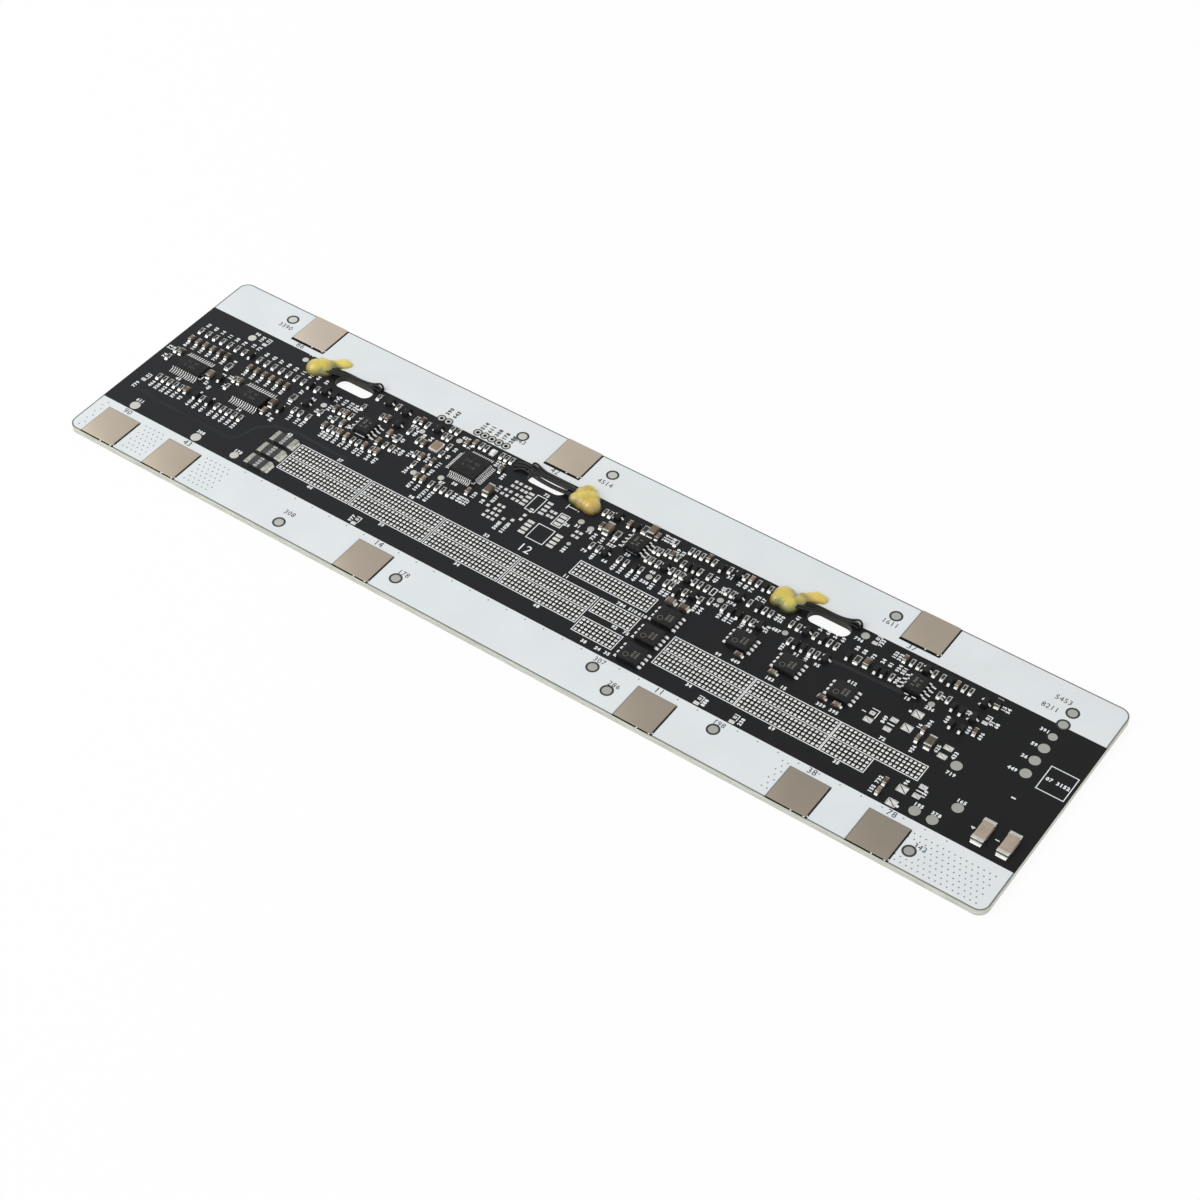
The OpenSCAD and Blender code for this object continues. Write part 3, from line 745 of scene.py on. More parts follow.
# White legend ink: matt, faintly bluish, slightly uneven
INK = Finish("white_legend_ink", "white_ink", "dfe4e6", "e3e8ea", 0.62, patch_mm=12, grain_mm=0.3,
             grain_depth_mm=0.003, specular=0.3)
# The same ink in thin lines and figures, which looks a little brighter
LINE_INK = Finish("white_legend_ink_line", "white_ink", "e6eaec", "f4f6f7", 0.6, patch_mm=2, grain_mm=0.1,
                  specular=0.3)
# Ink that sank into plugged holes: a grey dimple
VIA_GREY = Finish("ink_sunk_in_plugged_holes", "white_ink", "6d7174", "85898c", 0.6, patch_mm=1.0,
                  specular=0.3)
# Hot-air levelled tin: bright and softly uneven
TIN = Finish("hot_air_levelled_tin", "solder", "dcdcd8", "f4f4f0", 0.3, 1.0, patch_mm=1.0, grain_mm=0.3,
             grain_depth_mm=0.01)
# Tinned test pads: duller, greyish yellow, painted paler toward the far left as a reflection
PAD_TIN = LevelMetal("dull_tinned_copper", "pad_tin", "acaca6", "bbbbb5", 0.5, 1.0, patch_mm=2.5,
                     grain_mm=0.25, grain_depth_mm=0.004, uneven=0.04, far_reflection_dark="d2d1ca",
                     far_reflection_light="dfded8")
# Nickel sheet: satin warm grey, painted paler toward the far left as a reflection
NICKEL = RolledNickel("rolled_nickel_sheet", "nickel", "9b9285", "b3a899", 0.46, 1.0, patch_mm=14,
                      grain_depth_mm=0.001, uneven=0.02)
# Matt tin on copper legs: white rather than mirror-like
LEG_TIN = Finish("matt_tin_plated_legs", "tin_lead_frame", "eeeeec", "fbfbf9", 0.36, 0.5, patch_mm=0.6,
                 grain_mm=0.1)
# Solder on chip ends: bright, uneven
END_TIN = Finish("soldered_tin_ends", "tinned_ends", "bfbeb8", "e2e1da", 0.3, 1.0, patch_mm=0.5,
                 grain_mm=0.15, grain_depth_mm=0.01)
# Tinned strip at the ends of the shunts: duller, wavy
SHUNT_TIN = Finish("dull_tinned_strip", "tinned_ends", "a3a39b", "c9c8be", 0.38, 1.0, patch_mm=0.8,
                   grain_mm=0.3, grain_depth_mm=0.02)
# Filled black epoxy from a mould: matt with a fine grain
EPOXY = Finish("moulded_black_epoxy", "mould_compound", "161617", "1f1f20", 0.55, patch_mm=1.5,
               grain_mm=0.08, grain_depth_mm=0.004, specular=0.22)
# Laser marks burnt into the epoxy: clearly lighter than it
MARK = Finish("laser_marks_in_epoxy", "mould_compound", "6a6660", "7a766e", 0.7, patch_mm=0.6,
              specular=0.2)
# Shallow laser marks: hardly lighter than the epoxy
FAINT_MARK = Finish("shallow_laser_marks_in_epoxy", "mould_compound", "45423e", "504d48", 0.7,
                    patch_mm=0.6, specular=0.2)
# White alumina under a resistor's coat
ALUMINA = Finish("white_alumina", "resistor_coat", "dcdedc", "eceeec", 0.5, patch_mm=0.5, specular=0.4)
# Black glass coat on top of a resistor: glossy
COAT = Finish("black_glass_coat", "resistor_coat", "151518", "222226", 0.3, patch_mm=0.6, specular=0.5)
# Fired capacitor ceramic: brown, from tan to reddish
BROWN = Finish("fired_brown_ceramic", "capacitor_ceramic", "4f4238", "93806c", 0.45, patch_mm=4.5,
               grain_mm=0.12, specular=0.4)
# Coat of the shunts: dark, half glossy
SHUNT_COAT = Finish("dark_shunt_coat", "shunt_coat", "2a2a2a", "3a3a39", 0.4, patch_mm=1.2, specular=0.45)
# Pale print on the shunts: matt
PALE_MARK = Finish("pale_marking_ink", "shunt_coat", "a9abaa", "c5c7c6", 0.6, patch_mm=0.6, specular=0.3)
# Fired ceramic of the fuses: tan
TAN = Finish("fired_tan_ceramic", "fuse_ceramic", "a19484", "ae9f8f", 0.5, patch_mm=1.6, grain_mm=0.12,
             specular=0.4)
# Metal lid of the crystal: warm satin
LID = Finish("warm_satin_lid", "crystal_lid", "9c8873", "ad9984", 0.42, 1.0, patch_mm=2.2,
             grain_depth_mm=0.002)
# Resin of the lamp: milky, glossy
LENS = Finish("clear_white_resin", "lamp_lens", "eceeee", "fbfcfc", 0.25, patch_mm=0.5, coat=0.4)
# Epoxy drop of the sensor: glossy black
BEAD = Finish("black_dipped_epoxy", "bead_epoxy", "17171a", "232326", 0.25, patch_mm=0.8, grain_mm=0.4)
# Sleeve of the sensors' wires: black with a sheen
SLEEVE = Finish("black_wire_enamel", "wire_sleeve", "121211", "1c1c1a", 0.4, patch_mm=1.0, grain_mm=0.5,
                specular=0.3)
# Silicone glue: yellow, glossy, cloudy
GLUE = SoftResin("yellow_silicone_glue", "amber_glue", "d2bf4c", "e8d868", 0.2, patch_mm=3.5, grain_mm=2.2,
                 grain_depth_mm=0.12, uneven=0.05, coat=0.6)


# ---------- board, print and bare metal ----------
def dress_node(name: str, finish: Finish) -> None:
    """Gives a CAD node that keeps its shape its finish.

    Args:
        name: The node.
        finish: Its finish.
    """
    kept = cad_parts[name]
    kept.data.materials.clear()
    kept.data.materials.append(finish.material())
    log.info("%s keeps its shape, in %s", name, finish.name)


@dataclass
class Board:
    """The board, its white print, its bare pads and the solder squares of the current buses."""

    via_width: float = 0.36
    via_sides: int = 8
    via_step: float = 1.3
    via_lift: float = 0.025
    via_clearance: float = 0.3
    pad_room: float = 0.5
    edge_via_y: float = 11.3
    # fields of plugged holes, as (left, low, right, high)
    via_fields: tuple[tuple[float, float, float, float], ...] = (
        (2.2, 1.6, 3.4, 10.9), (15.4, 2.0, 21.4, 11.0), (34.0, 2.0, 41.4, 11.0),
        (188.0, 2.2, 190.6, 10.8), (216.6, 1.5, 237.4, 10.6))
    edge_vias: tuple[float, ...] = tuple(44 + 4.9 * k for k in range(38))
    square_swell: float = 0.05
    hole_width: float = 0.22
    holed_ratio: float = 8 / 7
    # how far a dark ring reaches past a pad's edge and over it, for test pads and header pads
    test_ring: Spot = (0.31, 0.125)
    header_ring: Spot = (0.25, 0.03)
    track_width: float = 0.9
    track_height: float = 0.009
    track_sunk: float = 0.004
    track_step: float = 0.0015
    track_paths: tuple[tuple[Spot, ...], ...] = (
        ((3.5, 18.6), (12.2, 18.0), (33.8, 17.8), (35.3, 20.2), (36.1, 23.8), (39.4, 26.9), (44.8, 28.0),
         (60.0, 27.9)),
        ((170.5, 38.4), (183.2, 39.1), (199.0, 39.7)))

    def build(self) -> None:
        """Dresses the board and makes the metal that lies on it."""
        dress_node("circuit_board", MASK)
        for name in BANDS:
            dress_node(name, INK)
        dress_node("legend_lines", LINE_INK)
        self.squares()
        self.pads()
        self.rings()
        self.vias()
        self.tracks()

    def tracks(self) -> None:
        """Raises the wide copper tracks that show under the mask."""
        bar = Blank.block((1, 1, self.track_height)).above(self.track_height - 0.001).bevel(0.006, 1).done()
        runs = []
        for path in self.track_paths:
            for i, ((xa, ya), (xb, yb)) in enumerate(zip(path, path[1:])):
                # neighbours overlap, so every second one lies a hair lower
                turn = math.degrees(math.atan2(yb - ya, xb - xa))
                length = math.hypot(xb - xa, yb - ya) + self.track_width / 3
                drop = self.track_sunk + self.track_step * (i % 2)
                stretch = (length, self.track_width, 1)
                runs.append(on_board((xa + xb) / 2, (ya + yb) / 2, -drop, turn, stretch))
        lay("copper_tracks", TRACK, [(bar.shape(), runs)])

    def squares(self) -> None:
        """Swells each solder square to a low pillow."""
        for name in ("left_bus_solder", "link_solder", "right_bus_solder"):
            found = solids(name)
            side, _, height = found[0].size
            low = Blank.block((side, side, height * 0.35)).top().inset(side * 0.16, self.square_swell)
            low.inset(side * 0.18, self.square_swell * 0.45).uprights().bevel(side * 0.16)
            shape = low.done().shape()
            rise = height / shape[0][:, 2].max()
            places = [Place(s.mid[0], s.mid[1], TOP, 0, (1, 1, rise)) for s in found]
            lay(name + "_pillows", TIN, [(shape, places)], name, angle=70)

    def pads(self) -> None:
        """Gives the round, ringed and square bare pads their softly levelled tin."""
        sets = []
        for (width, _, height), found in by_size(solids("test_pads")).items():
            pad = Blank.drum(width, height * 0.5, 28).top().inset(width * 0.06, height * 0.35)
            pad.inset(width * 0.16, height * 0.15)
            sets.append((pad.done().shape(), [s.place() for s in found]))
        lay("test_pad_discs", PAD_TIN, sets, "test_pads", angle=60)
        sets = []
        bare = solids("bare_pads")
        for (length, width, height), found in by_size(bare).items():
            pad = Blank.block((length, width, height * 0.5)).uprights().bevel(0.08)
            pad.top().inset(width * 0.14, height * 0.5)
            sets.append((pad.done().shape(), [s.place() for s in found]))
        lay("bare_pad_plates", TIN, sets, "bare_pads", angle=60)
        hole = Blank.drum(self.hole_width, 0.02, 10).top().inset(0.04, -0.008).done()
        holed = [s for s in bare if abs(s.size[0] / s.size[1] - self.holed_ratio) < 0.01]
        spots = [Place(s.mid[0], s.mid[1], s.high[2] - 0.008) for s in holed]
        lay("bare_pad_holes", DARK_INK, [(hole.shape(), spots)])
        dress_node("header_pads", PAD_TIN)

    def rings(self) -> None:
        """Draws the dark rings round the pads of the white bands."""
        near, far = (solids(name)[0] for name in BANDS)
        header = solids("header_pads")
        sets = []
        for (width, _, _), found in by_size(solids("test_pads") + header).items():
            inside = [s for s in found if s.mid[1] < near.high[1] or s.mid[1] > far.low[1] - 1]
            past, over = self.header_ring if abs(width - header[0].size[0]) < 0.01 else self.test_ring
            ring = Blank.drum(width + 2 * past, 0.01, 32, (0, 0, -0.005))
            ring.bite(Blank.drum(width - 2 * over, 1, 32, (0, 0, -0.5)))
            sets.append((ring.shape(), [Place(s.mid[0], s.mid[1], s.high[2] + 0.006) for s in inside]))
        lay("pad_rings", DARK_INK, [one for one in sets if one[1]])

    def vias(self) -> None:
        """Sets out the plugged holes that dot the white bands, clear of tabs and pads."""
        dot = Blank.drum(self.via_width, 0.012, self.via_sides).top()
        shape = dot.inset(self.via_width * 0.2, -0.006).done().shape()
        spots: list[Spot] = []
        for left, low, right, high in self.via_fields:
            for j in range(int((high - low) / self.via_step) + 1):
                shift = self.via_step / 2 if j % 2 else 0
                columns = int((right - left - shift) / self.via_step) + 1
                spots += [(left + shift + i * self.via_step, low + j * self.via_step) for i in range(columns)]
        spots += [(x, self.edge_via_y) for x in self.edge_vias]
        taken = [tab for name in TABS for tab in solids(name)]
        taken += [Solid(pad.low - self.pad_room, pad.high + self.pad_room) for pad in solids("test_pads")]
        free = [place for place in (on_board(x, y, self.via_lift) for x, y in spots)
                if not any(box.covers(place, self.via_clearance) for box in taken)]
        lay("plugged_vias", VIA_GREY, [(shape, free)])


@dataclass
class CellTabs:
    """Nine squares of nickel sheet, soldered flat and open for the cells' strips."""

    corner: float = 0.25
    edge: float = 0.05
    bed: float = 0.06
    # how far the dark strip, bare gap and painted shadow, reaches below a tab's near edge
    gap: float = 0.52
    rim: float = 0.06
    ink: float = 0.026
    # specks of solder at the near side, as (from the right edge, x, y, length, width)
    specks: tuple[tuple[bool, float, float, float, float], ...] = (
        (True, -0.4, -0.02, 1.0, 0.5), (False, 5.9, -0.04, 0.9, 0.7), (True, 0.18, 0.5, 0.5, 0.9))

    def build(self) -> None:
        """Makes each tab with eased corners and edges, on its bed of solder."""
        for name in TABS:
            (tab,) = solids(name)
            length, width, height = tab.size
            plate = Blank.block((length, width, height - self.bed), (0, 0, self.bed)).uprights()
            plate.bevel(self.corner, 3).done().round_over(self.edge, 2, 40)
            lay(name + "_plate", NICKEL, [(plate.shape(), [tab.place()])], name)
            bed = Blank.block((length - 0.2, width - 0.2, self.bed + 0.01)).above(self.bed).bevel(0.03, 1)
            lay(name + "_bed", PAD_TIN, [(bed.done().shape(), [tab.place()])])
        self.gaps_and_shadows()

    def gaps_and_shadows(self) -> None:
        """Widens the dark gap on each tab's near and right sides into a painted shadow of the tab, with
        specks of solder that seeped out.
        """
        strips, specks = [], []
        for name in TABS:
            (tab,) = solids(name)
            (x0, y0), (x1, y1) = tab.low[:2], tab.high[:2]
            low = max(y0 - self.gap, float(BOARD.low[1]) + self.rim)
            near = (x1 - x0 + 0.6, y0 - low + 0.1, 1)
            # the near strip and the right strip are painted shadow of the tab over the bare gap
            strips += [Place((x0 + x1) / 2, (low + y0) / 2, TOP + self.ink, 0, near),
                       Place(x1 + 0.22, (y0 + y1) / 2, TOP + self.ink + 0.001, 0, (0.3, y1 - y0, 1))]
            specks += [Place((x1 if right else x0) + dx, y0 + dy, TOP, 0, (long, wide, 1))
                       for right, dx, dy, long, wide in self.specks]
        bar = Blank.block((1, 1, 0.012)).uprights().bevel(0.05, 1).done()
        lay("tab_gap_and_painted_shadow_lines", GAP_AND_SHADOW, [(bar.shape(), strips)])
        drop = Blank.drum(0.5, 0.1, 12).top().inset(0.08, 0.05).inset(0.08, 0.02).done()
        lay("tab_solder_specks", TIN, [(drop.shape(), specks)], angle=60)


# ---------- chips with legs ----------
def gull_leg(reach: float, foot: float, out: float, thick: float, wide: float, land: float = 0.12) -> Blank:
    """A leg that leaves a body level, bends down and stands on its foot, along +X.

    Args:
        reach: How far it stands out.
        foot: Length of the foot.
        out: Height of its upper face where it leaves the body.
        thick: Thickness of the metal.
        wide: Width of the leg.
        land: How far the soldered land passes the toe.

    Returns:
        The leg with the solder under its foot.
    """
    high, low = out - thick / 2, thick / 2
    knee, ankle = reach - foot - (high - low) * 0.35, reach - foot
    path = [(-0.05, high), (knee - 0.1, high), (knee + 0.02, high - 0.05), (ankle - 0.05, low + 0.07),
            (ankle + 0.06, low), (reach, low)]
    leg = Blank.strip(path, wide, thick)
    # the solder starts 0.08 behind the heel
    bead = Blank.block((foot + 0.08 + land, wide + 0.02, 0.05), (reach - foot / 2 + (land - 0.08) / 2, 0, 0))
    return leg.add(bead.above(0.04).bevel(0.03, 1).done())


@dataclass(frozen=True)
class Package:
    """Sizes of a moulded chip and its legs."""

    bodies: tuple[str, ...]
    legs: str
    leg: tuple[float, float, float, float]  # reach, foot, thickness, width
    marks: tuple[str, ...]
    mark_height: float
    mark_turn: float = 0.0
    dimple: float = 0.5
    dimple_at: Spot = (-1, -1)
    land: float = 0.5
    mark: Finish = MARK


@dataclass
class Packages:
    """The monitors, controller, drivers and power transistors."""

    draft: float = 0.12
    edge: float = 0.06
    mark_lift: float = 0.002
    line_step: float = 1.7
    kinds: tuple[Package, ...] = (
        Package(("monitor_ic_1", "monitor_ic_2"), "monitor_ic_leads", (1.05, 0.5, 0.13, 0.2),
                ("31 07", "5 224"), 0.8, dimple=0.6, land=0.75, mark=FAINT_MARK),
        Package(("controller_ic",), "controller_ic_leads", (1.1, 0.5, 0.13, 0.18),
                ("103 42", "6 118"), 0.9, dimple=0.8, dimple_at=(1, -1), land=0.4, mark=FAINT_MARK),
        Package(("driver_ic_1", "driver_ic_2", "driver_ic_3"), "driver_ic_leads", (1.15, 0.5, 0.2, 0.34),
                ("2 064", "71 3"), 0.7, mark_turn=90))
    power_names: tuple[str, ...] = tuple(f"power_mosfet_{k}" for k in range(1, 7))
    # numbers and ring of a power transistor, from its middle
    power_marks: tuple[tuple[str, float, float], ...] = (("3012", 0.35, -0.2), ("5004", 1.25, -0.2))
    power_mark_height: float = 0.62
    power_ring: Spot = (-1.0, -1.1)

    def build(self) -> None:
        """Makes the bodies and legs of each kind."""
        for kind in self.kinds:
            self.moulded(kind)
        self.power()
        self.power_pads()

    def body(self, size: np.ndarray, dimple: float, at: Spot) -> Blank:
        """Shapes one moulded body.

        Args:
            size: Its box.
            dimple: Width of the round mark of its first leg.
            at: Which corner the mark is in, as signs of x and y.

        Returns:
            The body, standing at its own underside.
        """
        half = Blank.block(tuple(size)).cut((0, 0, size[2] * 0.5), (0, 0, 1))
        narrow = [(side - 2 * self.draft) / side for side in size[:2]]
        for way_up in (-1, 1):
            half.pick(Kind.FACE, lambda mid, way, up=way_up: way.z * up > STRAIGHT).spread((*narrow, 1))
        half.done().round_over(self.edge, 2, 50)
        x, y = (sign * (side / 2 - self.draft - dimple) for sign, side in zip(at, size))
        return half.bite(Blank.drum(dimple, 0.2, 20, (x, y, size[2] - 0.05)))

    def moulded(self, kind: Package) -> None:
        """Makes one kind of chip: bodies, legs and marks.

        Args:
            kind: Its sizes.
        """
        legs = solids(kind.legs)
        owners = {name: solids(name)[0] for name in kind.bodies}
        for name, box in owners.items():
            shape = self.body(box.size, kind.dimple, kind.dimple_at).shape()
            lay(name + "_body", EPOXY, [(shape, [box.place()])], name, angle=30)
            figures = []
            for k, text in enumerate(kind.marks):
                step = (0.5 - k) * self.line_step * kind.mark_height
                x, y = (box.mid[0] - step, box.mid[1]) if kind.mark_turn else (box.mid[0], box.mid[1] + step)
                figures.append(Figure(text, x, y, kind.mark_height, kind.mark_turn,
                                      float(box.high[2]) + self.mark_lift))
            FIGURES.write(figures, name + "_marks", kind.mark)
        reach, foot, thick, wide = kind.leg
        shape = gull_leg(reach, foot, float(legs[0].high[2]) - TOP, thick, wide, kind.land).shape()
        places = [leaving(leg, nearest(leg, owners.values()), 0 if leg.size[0] > leg.size[1] else 1)
                  for leg in legs]
        lay(kind.legs + "_bent", LEG_TIN, [(shape, places)], kind.legs)

    def power(self) -> None:
        """Makes the six flat power transistors with their marks."""
        for name in self.power_names:
            (box,) = solids(name)
            slab = Blank.block(tuple(box.size)).top().spread((0.975, 0.975, 1)).done().round_over(0.05, 2, 50)
            lay(name + "_slab", EPOXY, [(slab.shape(), [box.place()])], name, angle=30)
            x, y, z = float(box.mid[0]), float(box.mid[1]), float(box.high[2])
            FIGURES.write([Figure(text, x + dx, y + dy, self.power_mark_height, 90, z + self.mark_lift)
                           for text, dx, dy in self.power_marks], name + "_marks", MARK)
            ring = Blank.drum(1.3, 0.004, 28).bite(Blank.drum(1.06, 1, 28, (0, 0, -0.5)))
            spot = Place(x + self.power_ring[0], y + self.power_ring[1], z)
            lay(name + "_ring", MARK, [(ring.shape(), [spot])])

    def power_pads(self) -> None:
        """Makes the flush pads of the power transistors."""
        found = solids("power_mosfet_leads")
        length, width, height = found[0].size
        pad = Blank.block((length + 0.05, width, height), (length / 2 - 0.025, 0, 0))
        pad.pick(Kind.EDGE, lambda mid, way: mid.z > height * 0.9 and mid.x > length - 0.1).bevel(0.09)
        sole = Blank.block((length + 0.3, width + 0.12, 0.06), (length / 2 + 0.1, 0, 0))
        shape = pad.add(sole.above(0.05).bevel(0.04, 1).done()).shape()
        boxes = [solids(name)[0] for name in self.power_names]
        places = [leaving(leg, nearest(leg, boxes), 0) for leg in found]
        lay("power_mosfet_pads", LEG_TIN, [(shape, places)], "power_mosfet_leads")


# ---------- small chips ----------
@dataclass
class SmallChips:
    """Resistors, capacitors, small transistors and diodes."""

    edge: float = 0.04
    bare_side: float = 0.1
    over_cap: float = 0.14
    coat: float = 0.07
    dark_spot: Spot = (216.3, 48.2)
    shoulder: float = 0.62
    end_spots: np.ndarray = field(default_factory=lambda: np.zeros((1, 3)))

    def build(self) -> None:
        """Makes every small part."""
        resistors, capacitors = solids("chip_resistors"), solids("chip_capacitors")
        self.end_spots = np.array([end.mid for end in solids("chip_ends")])
        self.resistors(resistors)
        self.capacitors(capacitors)
        self.ends(resistors + capacitors)
        self.legged("small_transistors", "small_transistor_leads")
        self.legged("small_diodes", "small_diode_leads")

    def across(self, body: Solid) -> bool:
        """Tells whether a chip lies along X, by where its nearest metal end is.

        Args:
            body: The chip's body.

        Returns:
            True along X, and False along Y.
        """
        away = self.end_spots - body.mid
        close = away[np.argmin((away**2).sum(axis=1))]
        return bool(abs(close[0]) > abs(close[1]))

    def chips(self, found: list[Solid]) -> dict[Size, list[Place]]:
        """Groups chips by width, length and height.

        Args:
            found: The chips' bodies.

        Returns:
            The places of each size, with their turns.
        """
        groups: dict[Size, list[Place]] = {}
        for body in found:
            x, y, z = rounded(*body.size)
            key, turn = ((y, x, z), 90) if self.across(body) else ((x, y, z), 0)
            groups.setdefault(key, []).append(body.place(turn))
        return groups

    def resistors(self, found: list[Solid]) -> None:
        """Makes white ceramic chips with a black coat down the middle of the top.

        Args:
            found: Their bodies.
        """
        bases, coats = [], []
        for (x, y, z), places in self.chips(found).items():
            base = Blank.block((x, y, z - 0.015))
            base.pick(Kind.EDGE, lambda mid, way: mid.z > 0.1 and abs(way.y) > STRAIGHT).bevel(0.03, 1)
            bases.append((base.done().shape(), places))
            coat = Blank.block((x - 2 * self.bare_side, y + 1.6 * self.over_cap, self.coat), (0, 0, z - 0.04))
            coat.pick(Kind.EDGE, lambda mid, way: mid.z > z + 0.02 and abs(way.y) > STRAIGHT).bevel(0.02, 1)
            coats.append((coat.done().shape(), places))
        lay("resistor_bases", ALUMINA, bases)
        lay("resistor_coats", COAT, coats, "chip_resistors")

    def capacitors(self, found: list[Solid]) -> None:
        """Makes brown ceramic blocks with eased edges, and the one dark block.

        Args:
            found: Their bodies.
        """
        spot = on_board(*self.dark_spot)
        dark = [max(abs(body.mid[0] - spot.x), abs(body.mid[1] - spot.y)) < 1 for body in found]
        for name, finish, kept in (("capacitor_blocks", BROWN, False), ("dark_block", EPOXY, True)):
            group = [body for body, is_dark in zip(found, dark) if is_dark == kept]
            sets = []
            for (x, y, z), places in self.chips(group).items():
                block = Blank.block((x + 0.01, y + 2 * self.over_cap, z + 0.05)).above(z * 0.9)
                sets.append((block.bevel(self.edge).done().shape(), places))
            lay(name, finish, sets, "chip_capacitors")

    def ends(self, bodies: list[Solid]) -> None:
        """Makes the metal ends with the solder that climbs them.

        Args:
            bodies: The bodies that carry them.
        """
        groups: dict[Size, list[Place]] = {}
        for end in solids("chip_ends"):
            for body in bodies:
                aside = np.abs(end.mid - body.mid)[:2]
                for axis in (1, 0):
                    if aside[1 - axis] > 0.05 or aside[axis] > body.size[axis]:
                        continue
                    if abs(max(end.low[axis] - body.high[axis], body.low[axis] - end.high[axis])) < 0.02:
                        key = rounded(end.size[1 - axis], end.size[axis], end.size[2])
                        groups.setdefault(key, []).append(leaving(end, body, axis, -90))
        log.info("chip ends matched: %d", sum(len(places) for places in groups.values()))
        lay("chip_end_caps", END_TIN, [(self.end(*size).shape(), places) for size, places in groups.items()],
            "chip_ends", angle=50)

    def end(self, width: float, length: float, height: float) -> Blank:
        """One metal end with its fillet of solder, outward along +Y.

        Args:
            width: Across the chip.
            length: From its inner edge to the toe of the solder.
            height: Of the cap.

        Returns:
            The end.
        """
        toe = 0.42 if length < 1.2 else 0.55
        cap = length - toe
        waist, slope = height * self.shoulder, cap + toe * 0.3
        end = Blank.block((width, cap, height), (0, cap / 2, 0)).cut((0, 0, waist), (0, 0, 1))
        end.pick(Kind.FACE, lambda mid, way: way.y > STRAIGHT and mid.z < height * 0.6)
        end.push((0, toe * 0.45, 0))
        end.pick(Kind.CORNER, lambda at, way: at.y > slope and at.z > 0.1).shift((0, 0, -height * 0.4))
        end.pick(Kind.FACE, lambda mid, way: way.y > STRAIGHT and mid.y > slope).push((0, toe * 0.55, 0))
        end.pick(Kind.CORNER, lambda at, way: at.y > length - 0.05 and at.z > 0.03)
        end.shift((0, 0, -height * 0.14))
        end.pick(Kind.CORNER, lambda at, way: at.y > slope).spread((0.86, 1, 1))
        # the edges on top, and those where the solder meets the cap's outer side
        end.pick(Kind.EDGE, lambda mid, way: mid.z > height * 0.95
                 or (abs(mid.y - cap) < 0.01 and mid.z > waist))
        return end.bevel(self.edge).done()

    def legged(self, bodies: str, legs: str) -> None:
        """Makes small moulded bodies with stub legs.

        Args:
            bodies: Node of the bodies.
            legs: Node of the legs.
        """
        owners = solids(bodies)
        x, y, z = owners[0].size
        body = Blank.block((x, y, z - 0.05), (0, 0, 0.05)).cut((0, 0, z * 0.5), (0, 0, 1))
        body.top().spread((0.86, 0.92, 1)).above(z * 0.9).bevel(0.05)
        places = [box.place() for box in owners]
        lay(bodies + "_moulded", EPOXY, [(body.done().shape(), places)], bodies, angle=30)
        groups: dict[Size, list[Place]] = {}
        for leg in solids(legs):
            box = nearest(leg, owners)
            axis = 0 if leg.high[0] < box.low[0] + 0.01 or leg.low[0] > box.high[0] - 0.01 else 1
            groups.setdefault(rounded(leg.size[axis], leg.size[1 - axis]), []).append(leaving(leg, box, axis))
        lay(legs + "_bent", LEG_TIN, [(gull_leg(reach + 0.12, reach * 0.7, 0.42, 0.12, wide).shape(), places)
                                      for (reach, wide), places in groups.items()], legs)


